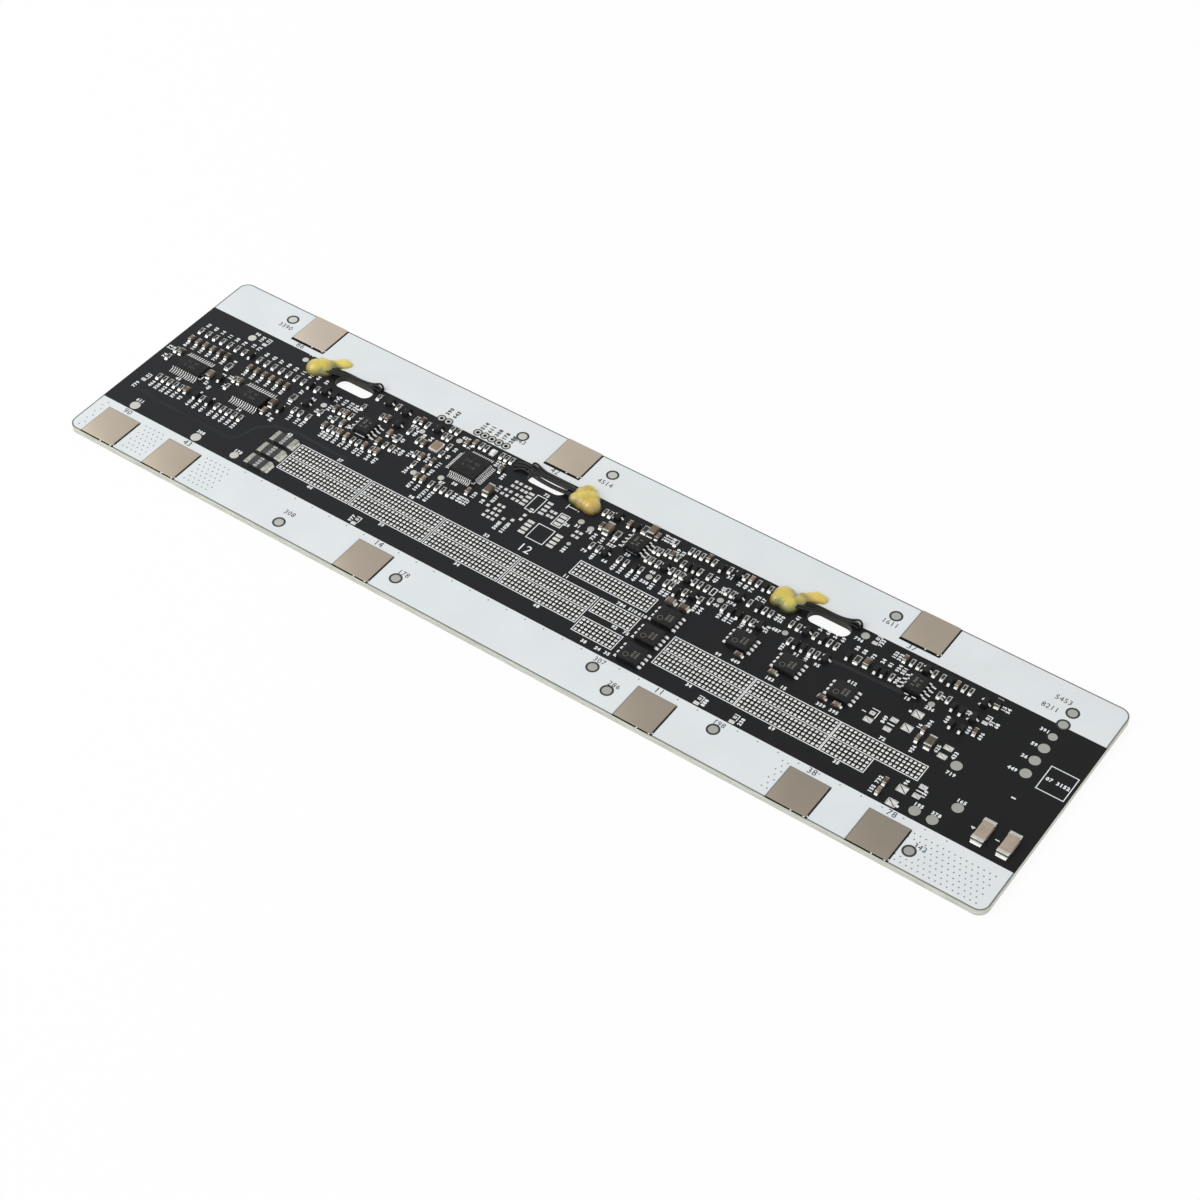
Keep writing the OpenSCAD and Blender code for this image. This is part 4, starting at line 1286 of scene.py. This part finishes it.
# ---------- larger parts ----------
@dataclass
class PowerParts:
    """Shunts, fuses, the crystal and the lamp."""

    shunt_coat: float = 0.4
    fuse_over_caps: float = 0.8
    lid_rim: float = 0.55

    def build(self) -> None:
        """Makes each part."""
        self.shunts()
        self.fuses()
        self.crystal()
        self.lamp()

    def caps(self, name: str, node_name: str, body: Solid, axis: int, edge: float, finish: Finish) -> None:
        """Makes the metal ends of large parts.

        Args:
            name: Name of the piece.
            node_name: The ends' node.
            body: A body between them.
            axis: 0 where the parts lie along X, and 1 along Y.
            edge: How far their edges are rounded.
            finish: Their finish.
        """
        found = solids(node_name)
        size = found[0].size
        shape = SmallChips(edge=edge).end(float(size[1 - axis]), float(size[axis]), float(size[2])).shape()
        lay(name, finish, [(shape, [leaving(end, body, axis, -90) for end in found])], node_name, angle=50)

    def shunts(self) -> None:
        """Makes the shunts: a coated strip between wide metal ends."""
        for name in ("shunt_1", "shunt_2", "shunt_3"):
            (box,) = solids(name)
            x, y, z = box.size
            body = Blank.block((x + self.shunt_coat, y, z + 0.01)).above(0.5).bevel(0.08, 3).done()
            lay(name + "_coat", SHUNT_COAT, [(body.shape(), [box.place()])], name)
            FIGURES.write([Figure("0005", float(box.mid[0]) + 0.1, float(box.mid[1]), 1.1, 90,
                                  float(box.high[2]) + 0.002)], name + "_print", PALE_MARK)
        self.caps("shunt_end_plates", "shunt_terminals", solids("shunt_1")[0], 0, 0.09, SHUNT_TIN)

    def fuses(self) -> None:
        """Makes the two fuses: a ceramic body between crimped caps."""
        height = solids("fuse_caps")[0].size[2] + 0.01
        for name in ("fuse_1", "fuse_2"):
            (box,) = solids(name)
            body = Blank.block((box.size[0] - 0.1, box.size[1] + self.fuse_over_caps, height)).above(0.5)
            lay(name + "_ceramic", TAN, [(body.bevel(0.06).done().shape(), [box.place()])], name)
        self.caps("fuse_cap_pair", "fuse_caps", solids("fuse_1")[0], 1, 0.08, END_TIN)

    def crystal(self) -> None:
        """Makes the crystal's can: a ceramic tray with a pressed lid."""
        (box,) = solids("crystal_can")
        x, y, z = box.size
        tray = Blank.block((x, y, z * 0.6)).uprights().bevel(0.25, 3).done()
        lid = Blank.block((x - self.lid_rim, y - self.lid_rim, z * 0.4), (0, 0, z * 0.6))
        lid.uprights().bevel(0.3, 3).top().inset(0.14, -0.03)
        lay("crystal_tray", LEG_TIN, [(tray.shape(), [box.place()])])
        lay("crystal_lid", LID, [(lid.done().shape(), [box.place()])], "crystal_can")

    def lamp(self) -> None:
        """Makes the lamp: a lens on its small base."""
        (box,) = solids("status_led")
        x, y, z = box.size
        base = Blank.block((x, y, z / 2)).above(0.2).bevel(0.04, 1).done()
        lens = Blank.block((x - 0.06, y * 0.6, z / 2), (0, 0, z / 2)).top().spread((0.85, 0.8, 1))
        lens.above(z * 0.9).bevel(0.08, 3)
        lay("status_led_lens", LENS, [(base.add(lens.done()).shape(), [box.place()])], "status_led")


# ---------- temperature sensors ----------
@dataclass(frozen=True)
class Lump:
    """One lump of glue, from the slot's middle: along, across, radius and height."""

    x: float
    y: float
    r: float
    h: float


@dataclass
class Sensors:
    """Three beads in glue beside their slots, each with its wires."""

    wire: float = 0.5
    gap: float = 0.31
    start: float = -9.8
    wires_y: float = 2.66
    part_from: int = 4
    part_step: float = 0.06
    low_sensor: int = 2
    low_share: float = 0.55
    bead_share: float = 0.8
    bead_shift: Point = (0.0, 0.9, 0.2)
    voxel: float = 0.2
    swell: float = 0.12
    glue_top: float = 2.35
    route: Route = (
        (-9.8, 0.6, 0.8), (-7.6, 1.0, 0.8), (-5.0, 2.0, 0.8), (-2, 2.1, 0.45), (2, 2.2, 0.4),
        (4.2, 2.7, 0.8), (5.3, 2.9, 1.5), (6.1, 2.7, 1.1), (6.2, 2.6, 0.02))
    # the slack pair leaves the glue lower down, and in the middle sensor it crosses the slot
    slack: tuple[tuple[int, Route], ...] = (
        (1, ((-9, -0.2, 1.0), (-6.4, 0.1, 1.2), (-4.0, 1.0, 0.9), (-1, 1.75, 0.6), (2.5, 2.2, 0.55),
             (4.8, 2.5, 0.5), (6.0, 2.4, 0.2))),
        (2, ((-9, -0.8, 1.0), (-6.2, -0.7, 0.9), (-3.6, -0.6, 0.4), (0, -0.45, 0.2), (3.8, -0.2, 0.3),
             (5.8, 0.5, 0.6), (7.6, 0.4, 0.6), (8.6, -0.5, 0.2))),
        (2, ((-9, 1.0, 1.0), (-6.2, 0.9, 0.9), (-3.6, 1.1, 0.5), (0, 1.15, 0.3), (3.8, 0.95, 0.4),
             (5.8, 1.0, 0.8), (7.6, 1.4, 0.8), (9.2, 0.6, 0.3))),
        (3, ((-9, -0.9, 1.0), (-6.2, -0.5, 1.2), (-4.0, 0.7, 0.9), (-1, 1.6, 0.6), (2.5, 2.1, 0.55),
             (4.8, 2.5, 0.5), (6.0, 2.4, 0.2))))
    lumps: tuple[tuple[Lump, ...], ...] = (
        (Lump(-11.3, -0.2, 2.5, 2.3), Lump(-10.0, 1.0, 2.2, 2.3), Lump(-8.8, 0.4, 1.7, 1.7),
         Lump(-11.0, 1.6, 1.6, 1.9), Lump(-8.9, 2.6, 1.5, 1.4), Lump(-7.9, 3.7, 1.4, 1.2),
         Lump(-7.0, 4.7, 1.5, 1.1), Lump(-6.1, 5.1, 1.1, 0.8)),
        (Lump(-10.3, 0.0, 2.6, 2.2), Lump(-12.5, -0.7, 2.2, 2.1), Lump(-13.1, -1.0, 1.8, 1.8),
         Lump(-9.4, 2.7, 1.8, 1.8), Lump(-8.3, -0.6, 1.7, 1.6), Lump(-8.7, 1.3, 1.9, 1.9),
         Lump(-11.4, 1.2, 1.8, 2.2)),
        (Lump(-11.8, 0.7, 2.7, 2.3), Lump(-9.6, -0.8, 2.1, 2.0), Lump(-12.4, -0.6, 1.9, 1.9),
         Lump(-8.2, 1.2, 1.6, 1.7), Lump(-8.3, 2.7, 1.4, 1.5), Lump(-7.2, 3.6, 1.4, 1.2),
         Lump(-6.1, 4.5, 1.6, 1.2), Lump(-4.9, 4.8, 1.3, 1.0)))

    def build(self) -> None:
        """Makes the three sensors."""
        for k in (1, 2, 3):
            leads, glue = boxed(f"sensor_leads_{k}"), boxed(f"sensor_glue_{k}")
            side = 1 if glue.mid[0] < leads.mid[0] else -1
            x = float((leads.low if side > 0 else leads.high)[0] - side * self.start)
            y = float(leads.mid[1] - self.wires_y)
            self.wires(k, side, x, y)
            self.bead(k)
            self.blob(k, side, x, y)

    def swept(self, name: str, points: Sequence[Point]) -> bpy.types.Object:
        """Sweeps one round wire along a smooth line.

        Args:
            name: Name of the curve.
            points: Points of the line, in millimetres.

        Returns:
            The wire, as a mesh.
        """
        curve = bpy.data.curves.new(name, "CURVE")
        curve.dimensions, curve.bevel_depth, curve.bevel_resolution = "3D", self.wire / 2 * MM, 3
        curve.resolution_u, curve.use_fill_caps = 8, True
        line = curve.splines.new("NURBS")
        line.points.add(len(points) - 1)
        for point, place in zip(line.points, points):
            point.co = (*(v * MM for v in place), 1)
        line.order_u, line.use_endpoint_u = 4, True
        obj = bpy.data.objects.new(name, curve)
        bpy.context.scene.collection.objects.link(obj)
        hold(obj)
        bpy.ops.object.convert(target="MESH")
        return bpy.context.object

    def wires(self, k: int, side: int, x: float, y: float) -> None:
        """Makes the pairs of wires of a sensor.

        Args:
            k: Number of the sensor.
            side: 1, or -1 where it lies the other way round.
            x: Middle of its slot.
            y: Middle of its slot.
        """
        slack = [route for owner, route in self.slack if owner == k]
        pairs = [(f"sensor_{k}_wire_pair", self.route, (f"sensor_leads_{k}",))]
        pairs += [(f"sensor_{k}_slack_pair_{i}", route, ()) for i, route in enumerate(slack, 1)]
        for name, route, nodes in pairs:
            share = self.low_share if k == self.low_sensor and nodes else 1.0
            ends = []
            for which in (-1, 1):
                points = []
                for i, (px, py, pz) in enumerate(route):
                    apart = self.gap + self.part_step * max(0, i - self.part_from)
                    across = py * (0.85 + 0.15 * share) + which * apart
                    points.append((x + side * px, y + across, TOP + pz * share))
                ends.append(Blank(self.swept(f"wire_{k}_{which}", points)))
            pair = ends[0].add(ends[1]).obj
            pair.name = name
            bpy.ops.object.shade_smooth()
            hand_over(pair, SLEEVE, *nodes)

    def bead(self, k: int) -> None:
        """Shapes the black drop that holds the sensor.

        Args:
            k: Number of the sensor.
        """
        box = boxed(f"sensor_bead_{k}")
        length, width = (float(v) for v in (self.bead_share * box.size)[:2])
        drop = Blank.drum(width, length, 20, (0, 0, -length / 2))
        drop.pick(Kind.FACE, lambda mid, way: abs(way.z) > STRAIGHT).inset(width * 0.12, 0.2).done()
        points, faces = drop.round_over(0.12, 2, 30).shape()
        points = points[:, [2, 1, 0]] * (1, 1, -1)
        points = points * (length / (points[:, 0].max() - points[:, 0].min()), 1, 1)
        spot = Place(*map(float, box.mid - np.array(self.bead_shift)))
        lay(f"sensor_bead_{k}_drop", BEAD, [((points, faces), [spot])], f"sensor_bead_{k}", angle=60)

    def blob(self, k: int, side: int, x: float, y: float) -> None:
        """Runs overlapping lumps of glue together into one soft blob.

        Args:
            k: Number of the sensor.
            side: 1, or -1 where it lies the other way round.
            x: Middle of its slot.
            y: Middle of its slot.
        """
        pieces = []
        for lump in self.lumps[k - 1]:
            clear_bench()
            radius = lump.r + self.swell
            bpy.ops.mesh.primitive_ico_sphere_add(
                subdivisions=4, radius=radius, location=(x + side * lump.x, y + lump.y, TOP))
            bpy.context.object.scale = (1, 1, (lump.h + self.swell) / radius)
            pieces.append(Blank.take())
        body = pieces[0].add(*pieces[1:])
        body.change("REMESH", mode="VOXEL", voxel_size=self.voxel).change("SMOOTH", factor=0.5, iterations=16)
        body.pick(Kind.FACE, lambda mid, way: True)
        bpy.ops.mesh.bisect(plane_co=(0, 0, TOP + 0.03), plane_no=(0, 0, 1), clear_inner=True, use_fill=True)
        points, faces = body.done().shape()
        height = points[:, 2] - TOP
        points[:, 2] = TOP + height * min(1.0, self.glue_top / height.max())
        lay(f"sensor_{k}_glue_blob", GLUE, [((points, faces), [Place(0, 0, 0)])], f"sensor_glue_{k}",
            angle=80)


# ---------- printed figures ----------
@dataclass(frozen=True)
class Figure:
    """Plain digits printed at a place, in millimetres from the middle of the board's underside."""

    text: str
    x: float
    y: float
    height: float
    turn: float
    z: float


@dataclass
class Figures:
    """Ten digits, modelled once and copied for every number on the board."""

    bold: float = 0.05
    fine_above: float = 1.25
    thickness: float = 0.012
    advance: float = 0.78
    shapes: dict[tuple[str, float], Shape] = field(default_factory=dict)

    def digit(self, mark: str, bold: float) -> Shape:
        """Models one digit, 1 high and centred, as a raised shape.

        Args:
            mark: The digit.
            bold: How far its outline is moved outward.

        Returns:
            Its shape.
        """
        if (mark, bold) not in self.shapes:
            clear_bench()
            bpy.ops.object.text_add()
            text = bpy.context.object.data
            text.body, text.size, text.resolution_u, text.offset, text.extrude = mark, 1.0, 2, bold, 0.5
            bpy.ops.object.convert(target="MESH")
            points, faces = Blank(bpy.context.object).shape()
            low, high = points.min(axis=0), points.max(axis=0)
            points = (points - (low + high) / 2) / (high[1] - low[1])
            points[:, 2] = np.where(points[:, 2] > 0, 1.0, 0.0)
            self.shapes[(mark, bold)] = (points, faces)
        return self.shapes[(mark, bold)]

    def write(self, figures: Iterable[Figure], name: str, finish: Finish) -> None:
        """Prints numbers as one piece.

        Args:
            figures: The numbers.
            name: Name of the piece.
            finish: Its finish.
        """
        sets: dict[tuple[str, float], list[Place]] = {}
        for one in figures:
            bold = self.bold if one.height < self.fine_above else 0.0
            a = math.radians(one.turn)
            for i, mark in enumerate(one.text):
                if mark == " ":
                    continue
                along = (i - (len(one.text) - 1) / 2) * one.height * self.advance
                spot = Place(one.x + along * math.cos(a), one.y + along * math.sin(a), one.z, one.turn,
                             (one.height, one.height, self.thickness))
                sets.setdefault((mark, bold), []).append(spot)
        lay(name, finish, [(self.digit(*key), places) for key, places in sets.items()])


FIGURES = Figures()


@dataclass
class Legend:
    """The numbers beside the parts, and the strokes between them."""

    # upright numbers, as (y, digits, x of each); they read from the near edge to the far one
    upright: Rows = (
        (44.75, 2, (3.6, 5.9, 8.1, 10.4, 12.6, 14.9, 21.8, 24.1, 26.3, 28.6, 30.8, 33.1, 35.3)),
        (45.3, 2, (17.2, 18.9, 37.1, 39.6, 175.2, 177.1, 178.9, 180.7)), (48.3, 3, (17.3,)),
        (36.5, 2, (3.6, 5.9, 8.1, 10.4, 12.6, 14.9, 21.8, 24.1, 26.3, 28.6, 30.8, 33.1)), (38.5, 1, (17.4,)),
        (39.3, 2, (37.0,)), (33.7, 2, (1.1, 2.2, 20.1, 21.0)), (30.7, 2, (2.1, 20.9)),
        (29.0, 2, (16.7, 35.8)), (28.0, 2, (18.2, 37.2)), (19.2, 3, (3.5,)),
        (21.5, 3, (6.4, 8.1, 9.9, 11.6, 13.3, 17.9, 19.8, 21.9, 24.3, 26.1, 27.9, 29.7, 31.5)),
        (21.5, 2, (15.1,)), (42.3, 3, (45.6, 47.5, 49.3, 50.6)), (41.8, 2, (51.6,)), (38.9, 3, (45.8,)),
        (36.4, 2, (44.0, 53.3, 47.9)),
        (31.0, 3, (40.2, 42.5, 44.1, 49.8, 50.9, 52.1, 53.7, 55.7, 57.4, 59.7, 61.1, 63.4, 65.3)),
        (43.5, 3, (67.4, 69.5)), (44.0, 2, (71.5,)), (44.3, 2, (78.2,)), (41.5, 2, (78.2,)),
        (38.2, 3, (78.1, 74.9)), (35.3, 3, (78.1,)), (37.4, 3, (70.5,)), (39.9, 2, (63.9, 66.5)),
        (36.5, 3, (67.4, 68.7)), (32.7, 3, (73.1,)), (29.6, 3, (76.7, 78.5)), (28.9, 5, (80.9, 82.5)),
        (32.3, 3, (87.1, 88.4, 89.4, 90.5)), (35.1, 3, (90.5,)), (46.3, 3, (88.6, 89.8)), (47.0, 2, (80.3,)),
        (43.6, 3, (92.2,)), (48.8, 2, (94.4, 96.1)), (40.0, 3, (93.8,)), (37.0, 3, (95.0,)),
        (34.6, 2, (93.2,)), (30.5, 4, (100.4, 102.3)), (38.6, 2, (103.8,)), (33.0, 3, (116.8,)),
        (39.9, 3, (119.9, 122.0)), (48.7, 3, (133.0, 134.0, 135.0)), (46.5, 3, (137.6, 138.9)),
        (34.8, 3, (123.1, 128.7, 130.5, 132.7, 134.4, 138.7, 141.5, 142.7, 149.9, 151.3)),
        (44.5, 3, (149.0,)), (46.3, 2, (153.9, 155.4, 156.9)), (45.1, 2, (159.5, 160.9, 169.6)),
        (42.7, 3, (152.0, 165.8, 166.9)), (36.2, 3, (155.4, 157.0, 158.3, 160.9, 171.2, 177.1)),
        (38.5, 3, (165.9,)), (13.8, 3, (72.9, 166.6, 175.6)), (49.2, 3, (187.9,)), (48.0, 3, (191.9, 193.1)),
        (45.0, 2, (184.4, 186.2, 188.4, 190.7, 192.5)), (45.1, 3, (194.4, 195.7)), (42.0, 3, (195.8,)),
        (43.3, 2, (205.9,)), (38.7, 3, (209.6, 214.6, 217.5)), (35.6, 3, (207.3,)), (33.9, 2, (205.9,)),
        (30.9, 1, (194.5,)), (31.3, 3, (199.1,)), (27.8, 3, (207.8,)), (17.1, 3, (206.4,)),
        (14.2, 3, (206.4,)), (42.8, 2, (212.3,)), (47.9, 2, (217.7, 218.8)), (43.0, 2, (217.7, 218.8)),
        (30.8, 3, (211.9,)), (31.2, 3, (215.7,)), (17.2, 1, (227.8, 233.3)), (19.6, 2, (211.3,)),
        (19.0, 3, (215.8,)))
    # level numbers, as (y, digits, x of each)
    level: Rows = (
        (49.1, 2, (15.3,)), (26.3, 2, (10.4, 29.0)), (15.5, 3, (8.4, 27.1, 38.3)), (39.0, 2, (40.9,)),
        (26.65, 2, (44.2, 59.0, 79.5, 100.5, 122.0, 161.4, 177.6, 201.4)),
        (15.95, 2, (59.0, 79.5, 100.5, 122.0, 161.2, 181.6, 197.0)), (26.65, 3, (136.6, 139.6, 142.1)),
        (20.4, 2, (139.2, 142.2)), (13.4, 2, (136.2, 139.8, 142.2)), (45.2, 3, (66.0,)), (39.6, 1, (74.2,)),
        (33.1, 1, (74.8,)), (34.1, 2, (82.2,)), (35.5, 2, (84.8,)), (48.8, 3, (78.0,)), (44.4, 2, (103.9,)),
        (39.5, 2, (113.0,)), (40.5, 2, (115.1, 118.2)), (46.7, 2, (128.3,)), (41.3, 2, (124.1,)),
        (39.9, 3, (124.6,)), (39.6, 2, (129.1,)), (38.4, 2, (136.6,)), (35.0, 3, (136.7,)),
        (35.2, 2, (120.6, 126.1, 146.6)), (39.2, 3, (142.1,)), (46.7, 2, (151.2,)), (40.5, 3, (155.6,)),
        (38.2, 2, (153.2,)), (36.0, 2, (163.0, 174.8, 179.9)), (39.5, 3, (167.6,)),
        (27.1, 3, (165.4, 173.9, 186.4, 189.5)), (47.3, 3, (183.3,)), (36.1, 3, (188.5,)),
        (38.9, 2, (200.0,)), (39.2, 3, (205.2,)), (26.6, 3, (217.4,)), (47.7, 3, (227.3,)),
        (43.2, 2, (227.3,)), (39.3, 2, (227.2,)), (35.0, 3, (226.8,)), (21.6, 3, (222.8,)),
        (15.9, 3, (216.3, 220.3)), (50.9, 2, (30.6,)))
    # dark numbers in the white bands, as (y, digits, x of each)
    dark: Rows = (
        (55.2, 4, (18.7, 88.0, 112.2, 186.3)), (7.0, 3, (60.8, 93.0, 148.6)), (6.9, 3, (221.9,)),
        (10.8, 3, (142.2, 172.2)), (57.2, 4, (226.6,)), (53.9, 4, (225.2,)))
    # larger dark numbers beside the tabs, and those read upward beside the headers
    tab_labels: Rows = (
        (11.05, 2, (8.6, 27.0, 82.8, 157.2, 194.4, 213.0)), (51.8, 2, (26.2, 100.8, 193.6)))
    header_labels: Rows = (
        (53.9, 3, (69.3, 71.3)), (54.6, 3, (78.9, 80.9, 82.9, 84.9, 86.9)))
    # short white strokes, as (x, y, length, width)
    strokes: tuple[tuple[float, float, float, float], ...] = (
        (230.7, 28.4, 1.0, 0.35), (202.3, 36.3, 0.6, 0.6), (212.9, 13.2, 0.6, 0.6), (18.3, 33.6, 1.2, 0.3),
        (37.1, 34.5, 1.2, 0.3), (18.1, 25.9, 0.5, 0.4), (22.0, 25.9, 0.5, 0.4), (14.2, 31.6, 0.16, 3.2),
        (14.5, 29.0, 0.9, 0.3), (14.85, 29.6, 0.3, 1.2), (32.9, 29.1, 0.6, 0.25), (33.1, 34.0, 0.16, 2.4),
        (112.6, 44.3, 0.3, 0.3), (110.9, 44.45, 2.4, 0.2), (109.7, 44.35, 0.2, 1.6),
        (200.9, 30.85, 1.7, 0.3), (214.7, 19.05, 1.7, 0.3), (199.2, 39.9, 1.0, 0.25),
        (201.0, 39.9, 1.0, 0.25), (57.3, 35.7, 2.7, 0.25), (129.4, 40.8, 3.0, 0.25), (88.3, 38.3, 0.3, 1.0),
        (87.9, 37.9, 0.9, 0.3))
    # larger white numbers, as (number, x, y, height, turn)
    single: tuple[tuple[str, float, float, float, float], ...] = (
        ("12", 109.7, 28.3, 2.3, 0), ("07 3152", 236.2, 36.7, 1.0, 0))
    small: float = 0.95
    lift: float = 0.004
    band_lift: float = 0.035

    def build(self) -> None:
        """Prints the numbers and strokes."""
        white = [self.at(*one, self.lift) for one in self.single]
        for rows, turn in ((self.upright, 90), (self.level, 0)):
            white += self.lines(rows, turn, self.small, self.lift)
        FIGURES.write(white, "part_numbers", LINE_INK)
        dark: list[Figure] = []
        for rows, turn, height in (
                (self.dark, 0, 1.3), (self.tab_labels, 0, 1.5), (self.header_labels, 90, 1.1)):
            dark += self.lines(rows, turn, height, self.band_lift)
        FIGURES.write(dark, "band_numbers", DARK_INK)
        bar = Blank.block((1, 1, 0.02)).uprights().bevel(0.12).done()
        places = [on_board(x, y, 0, 0, (length, width, 1)) for x, y, length, width in self.strokes]
        lay("legend_strokes", LINE_INK, [(bar.shape(), places)])

    def at(self, text: str, x: float, y: float, height: float, turn: float, lift: float) -> Figure:
        """A number given from the board's lower left corner, lifted off its face."""
        place = on_board(x, y, lift)
        return Figure(text, place.x, place.y, height, turn, place.z)

    def lines(self, rows: Rows, turn: float, height: float, lift: float) -> list[Figure]:
        """Makes up a number for each place, one after the other.

        Args:
            rows: Rows of places with their count of digits.
            turn: How the numbers are turned, in degrees.
            height: Height of the digits.
            lift: Height above the board's face.

        Returns:
            The figures.
        """
        figures = []
        count = 11
        for y, digits, xs in rows:
            for x in xs:
                count = (count * 7 + 13) % 99991
                text = str(count % 10**digits).rjust(digits, "3")
                figures.append(self.at(text, x, y, height, turn, lift))
        return figures


# ---------- studio ----------
@dataclass
class Studio:
    """Pale floor, soft lights and the camera."""

    eye: Point = (0.22572, -0.30513, 0.38991)
    target: Point = (0.01211, -0.00602, 0.0016)
    lens: float = 74.96
    roll: float = -0.19
    world: float = 0.76
    # level faces mirror the part of the room straight ahead, which is dimmer than the rest
    dim_way: Point = (0.40, -0.56, -0.73)
    dim_from: float = 0.45
    dim_to: float = 0.9
    dim: float = 0.78
    glint: float = 1.35
    key: float = 3.6
    key_side: float = 0.7
    key_place: Point = (-0.6, -0.4, 0.75)
    floor_side: float = 6
    floor_gap: float = 0.00005
    floor_glow: float = 0.9

    def build(self) -> None:
        """Sets up the floor, the lights and the camera."""
        self.floor()
        self.lights()
        self.camera()
        bpy.context.scene.view_settings.view_transform = "Standard"

    def floor(self) -> None:
        """Lays a large pale floor that keeps a soft shadow."""
        clear_bench()
        bpy.ops.mesh.primitive_plane_add(size=self.floor_side, location=(0, 0, -self.floor_gap))
        plane = bpy.context.object
        plane.name = "floor"
        made = bpy.data.materials.new("matt_white_paper")
        made.use_nodes = True
        tree = made.node_tree
        tree.nodes.clear()
        paper = node(tree, "BsdfDiffuse", Color=linear("fafafa")).outputs[0]
        glow = node(tree, "Emission", Color=(1, 1, 1, 1), Strength=1.0).outputs[0]
        path = node(tree, "LightPath").outputs
        seen = calc(tree, "MAXIMUM", path["Is Camera Ray"], path["Is Glossy Ray"])
        seen = calc(tree, "MAXIMUM", seen, path["Is Transmission Ray"])
        share = calc(tree, "MULTIPLY", seen, self.floor_glow)
        node(tree, "OutputMaterial", Surface=node(tree, "MixShader", Fac=share, i1=paper, i2=glow).outputs[0])
        plane.data.materials.append(made)

    def lights(self) -> None:
        """A white surround and one large soft lamp from the near left."""
        world = bpy.data.worlds.new("white_surround")
        bpy.context.scene.world = world
        world.use_nodes = True
        tree = world.node_tree
        tree.nodes.clear()
        path = node(tree, "LightPath").outputs
        looking = node(tree, "NewGeometry").outputs["Incoming"]
        ahead = node(tree, "VectorMath", {"operation": "DOT_PRODUCT"}, i0=looking, i1=self.dim_way)
        fall = span(tree, ahead.outputs["Value"], self.dim_from, self.dim_to, self.glint, self.dim)
        plain, mirror, white = (node(tree, "Background", Color=(1, 1, 1, 1), Strength=strength).outputs[0]
                                for strength in (self.world, fall, 1.0))
        room = node(tree, "MixShader", Fac=path["Is Glossy Ray"], i1=plain, i2=mirror).outputs[0]
        shown = node(tree, "MixShader", Fac=path["Is Camera Ray"], i1=room, i2=white).outputs[0]
        node(tree, "OutputWorld", Surface=shown)
        lamp = bpy.data.lights.new("soft_box", "AREA")
        lamp.shape, lamp.size, lamp.size_y, lamp.energy = "RECTANGLE", self.key_side, self.key_side, self.key
        box = bpy.data.objects.new("soft_box", lamp)
        bpy.context.scene.collection.objects.link(box)
        box.location = self.key_place
        box.rotation_euler = (-Vector(self.key_place)).to_track_quat("-Z", "Y").to_euler()

    def camera(self) -> None:
        """Places the camera."""
        data = bpy.data.cameras.new("camera")
        data.lens, data.sensor_width, data.sensor_fit = self.lens, 36.0, "HORIZONTAL"
        data.clip_start, data.clip_end = 0.01, 20
        eye = bpy.data.objects.new("camera", data)
        bpy.context.scene.collection.objects.link(eye)
        aim = (Vector(self.target) - Vector(self.eye)).to_track_quat("-Z", "Y").to_matrix().to_4x4()
        roll = Matrix.Rotation(math.radians(self.roll), 4, "Z")
        eye.matrix_world = Matrix.Translation(self.eye) @ aim @ roll
        bpy.context.scene.camera = eye


def main() -> None:
    """Builds the scene in order."""
    logging.basicConfig(level=logging.INFO, format="%(name)s: %(message)s")
    for builder in (Studio, Board, CellTabs, Packages, SmallChips, PowerParts, Sensors, Legend):
        builder().build()


if __name__ == "__main__":
    main()
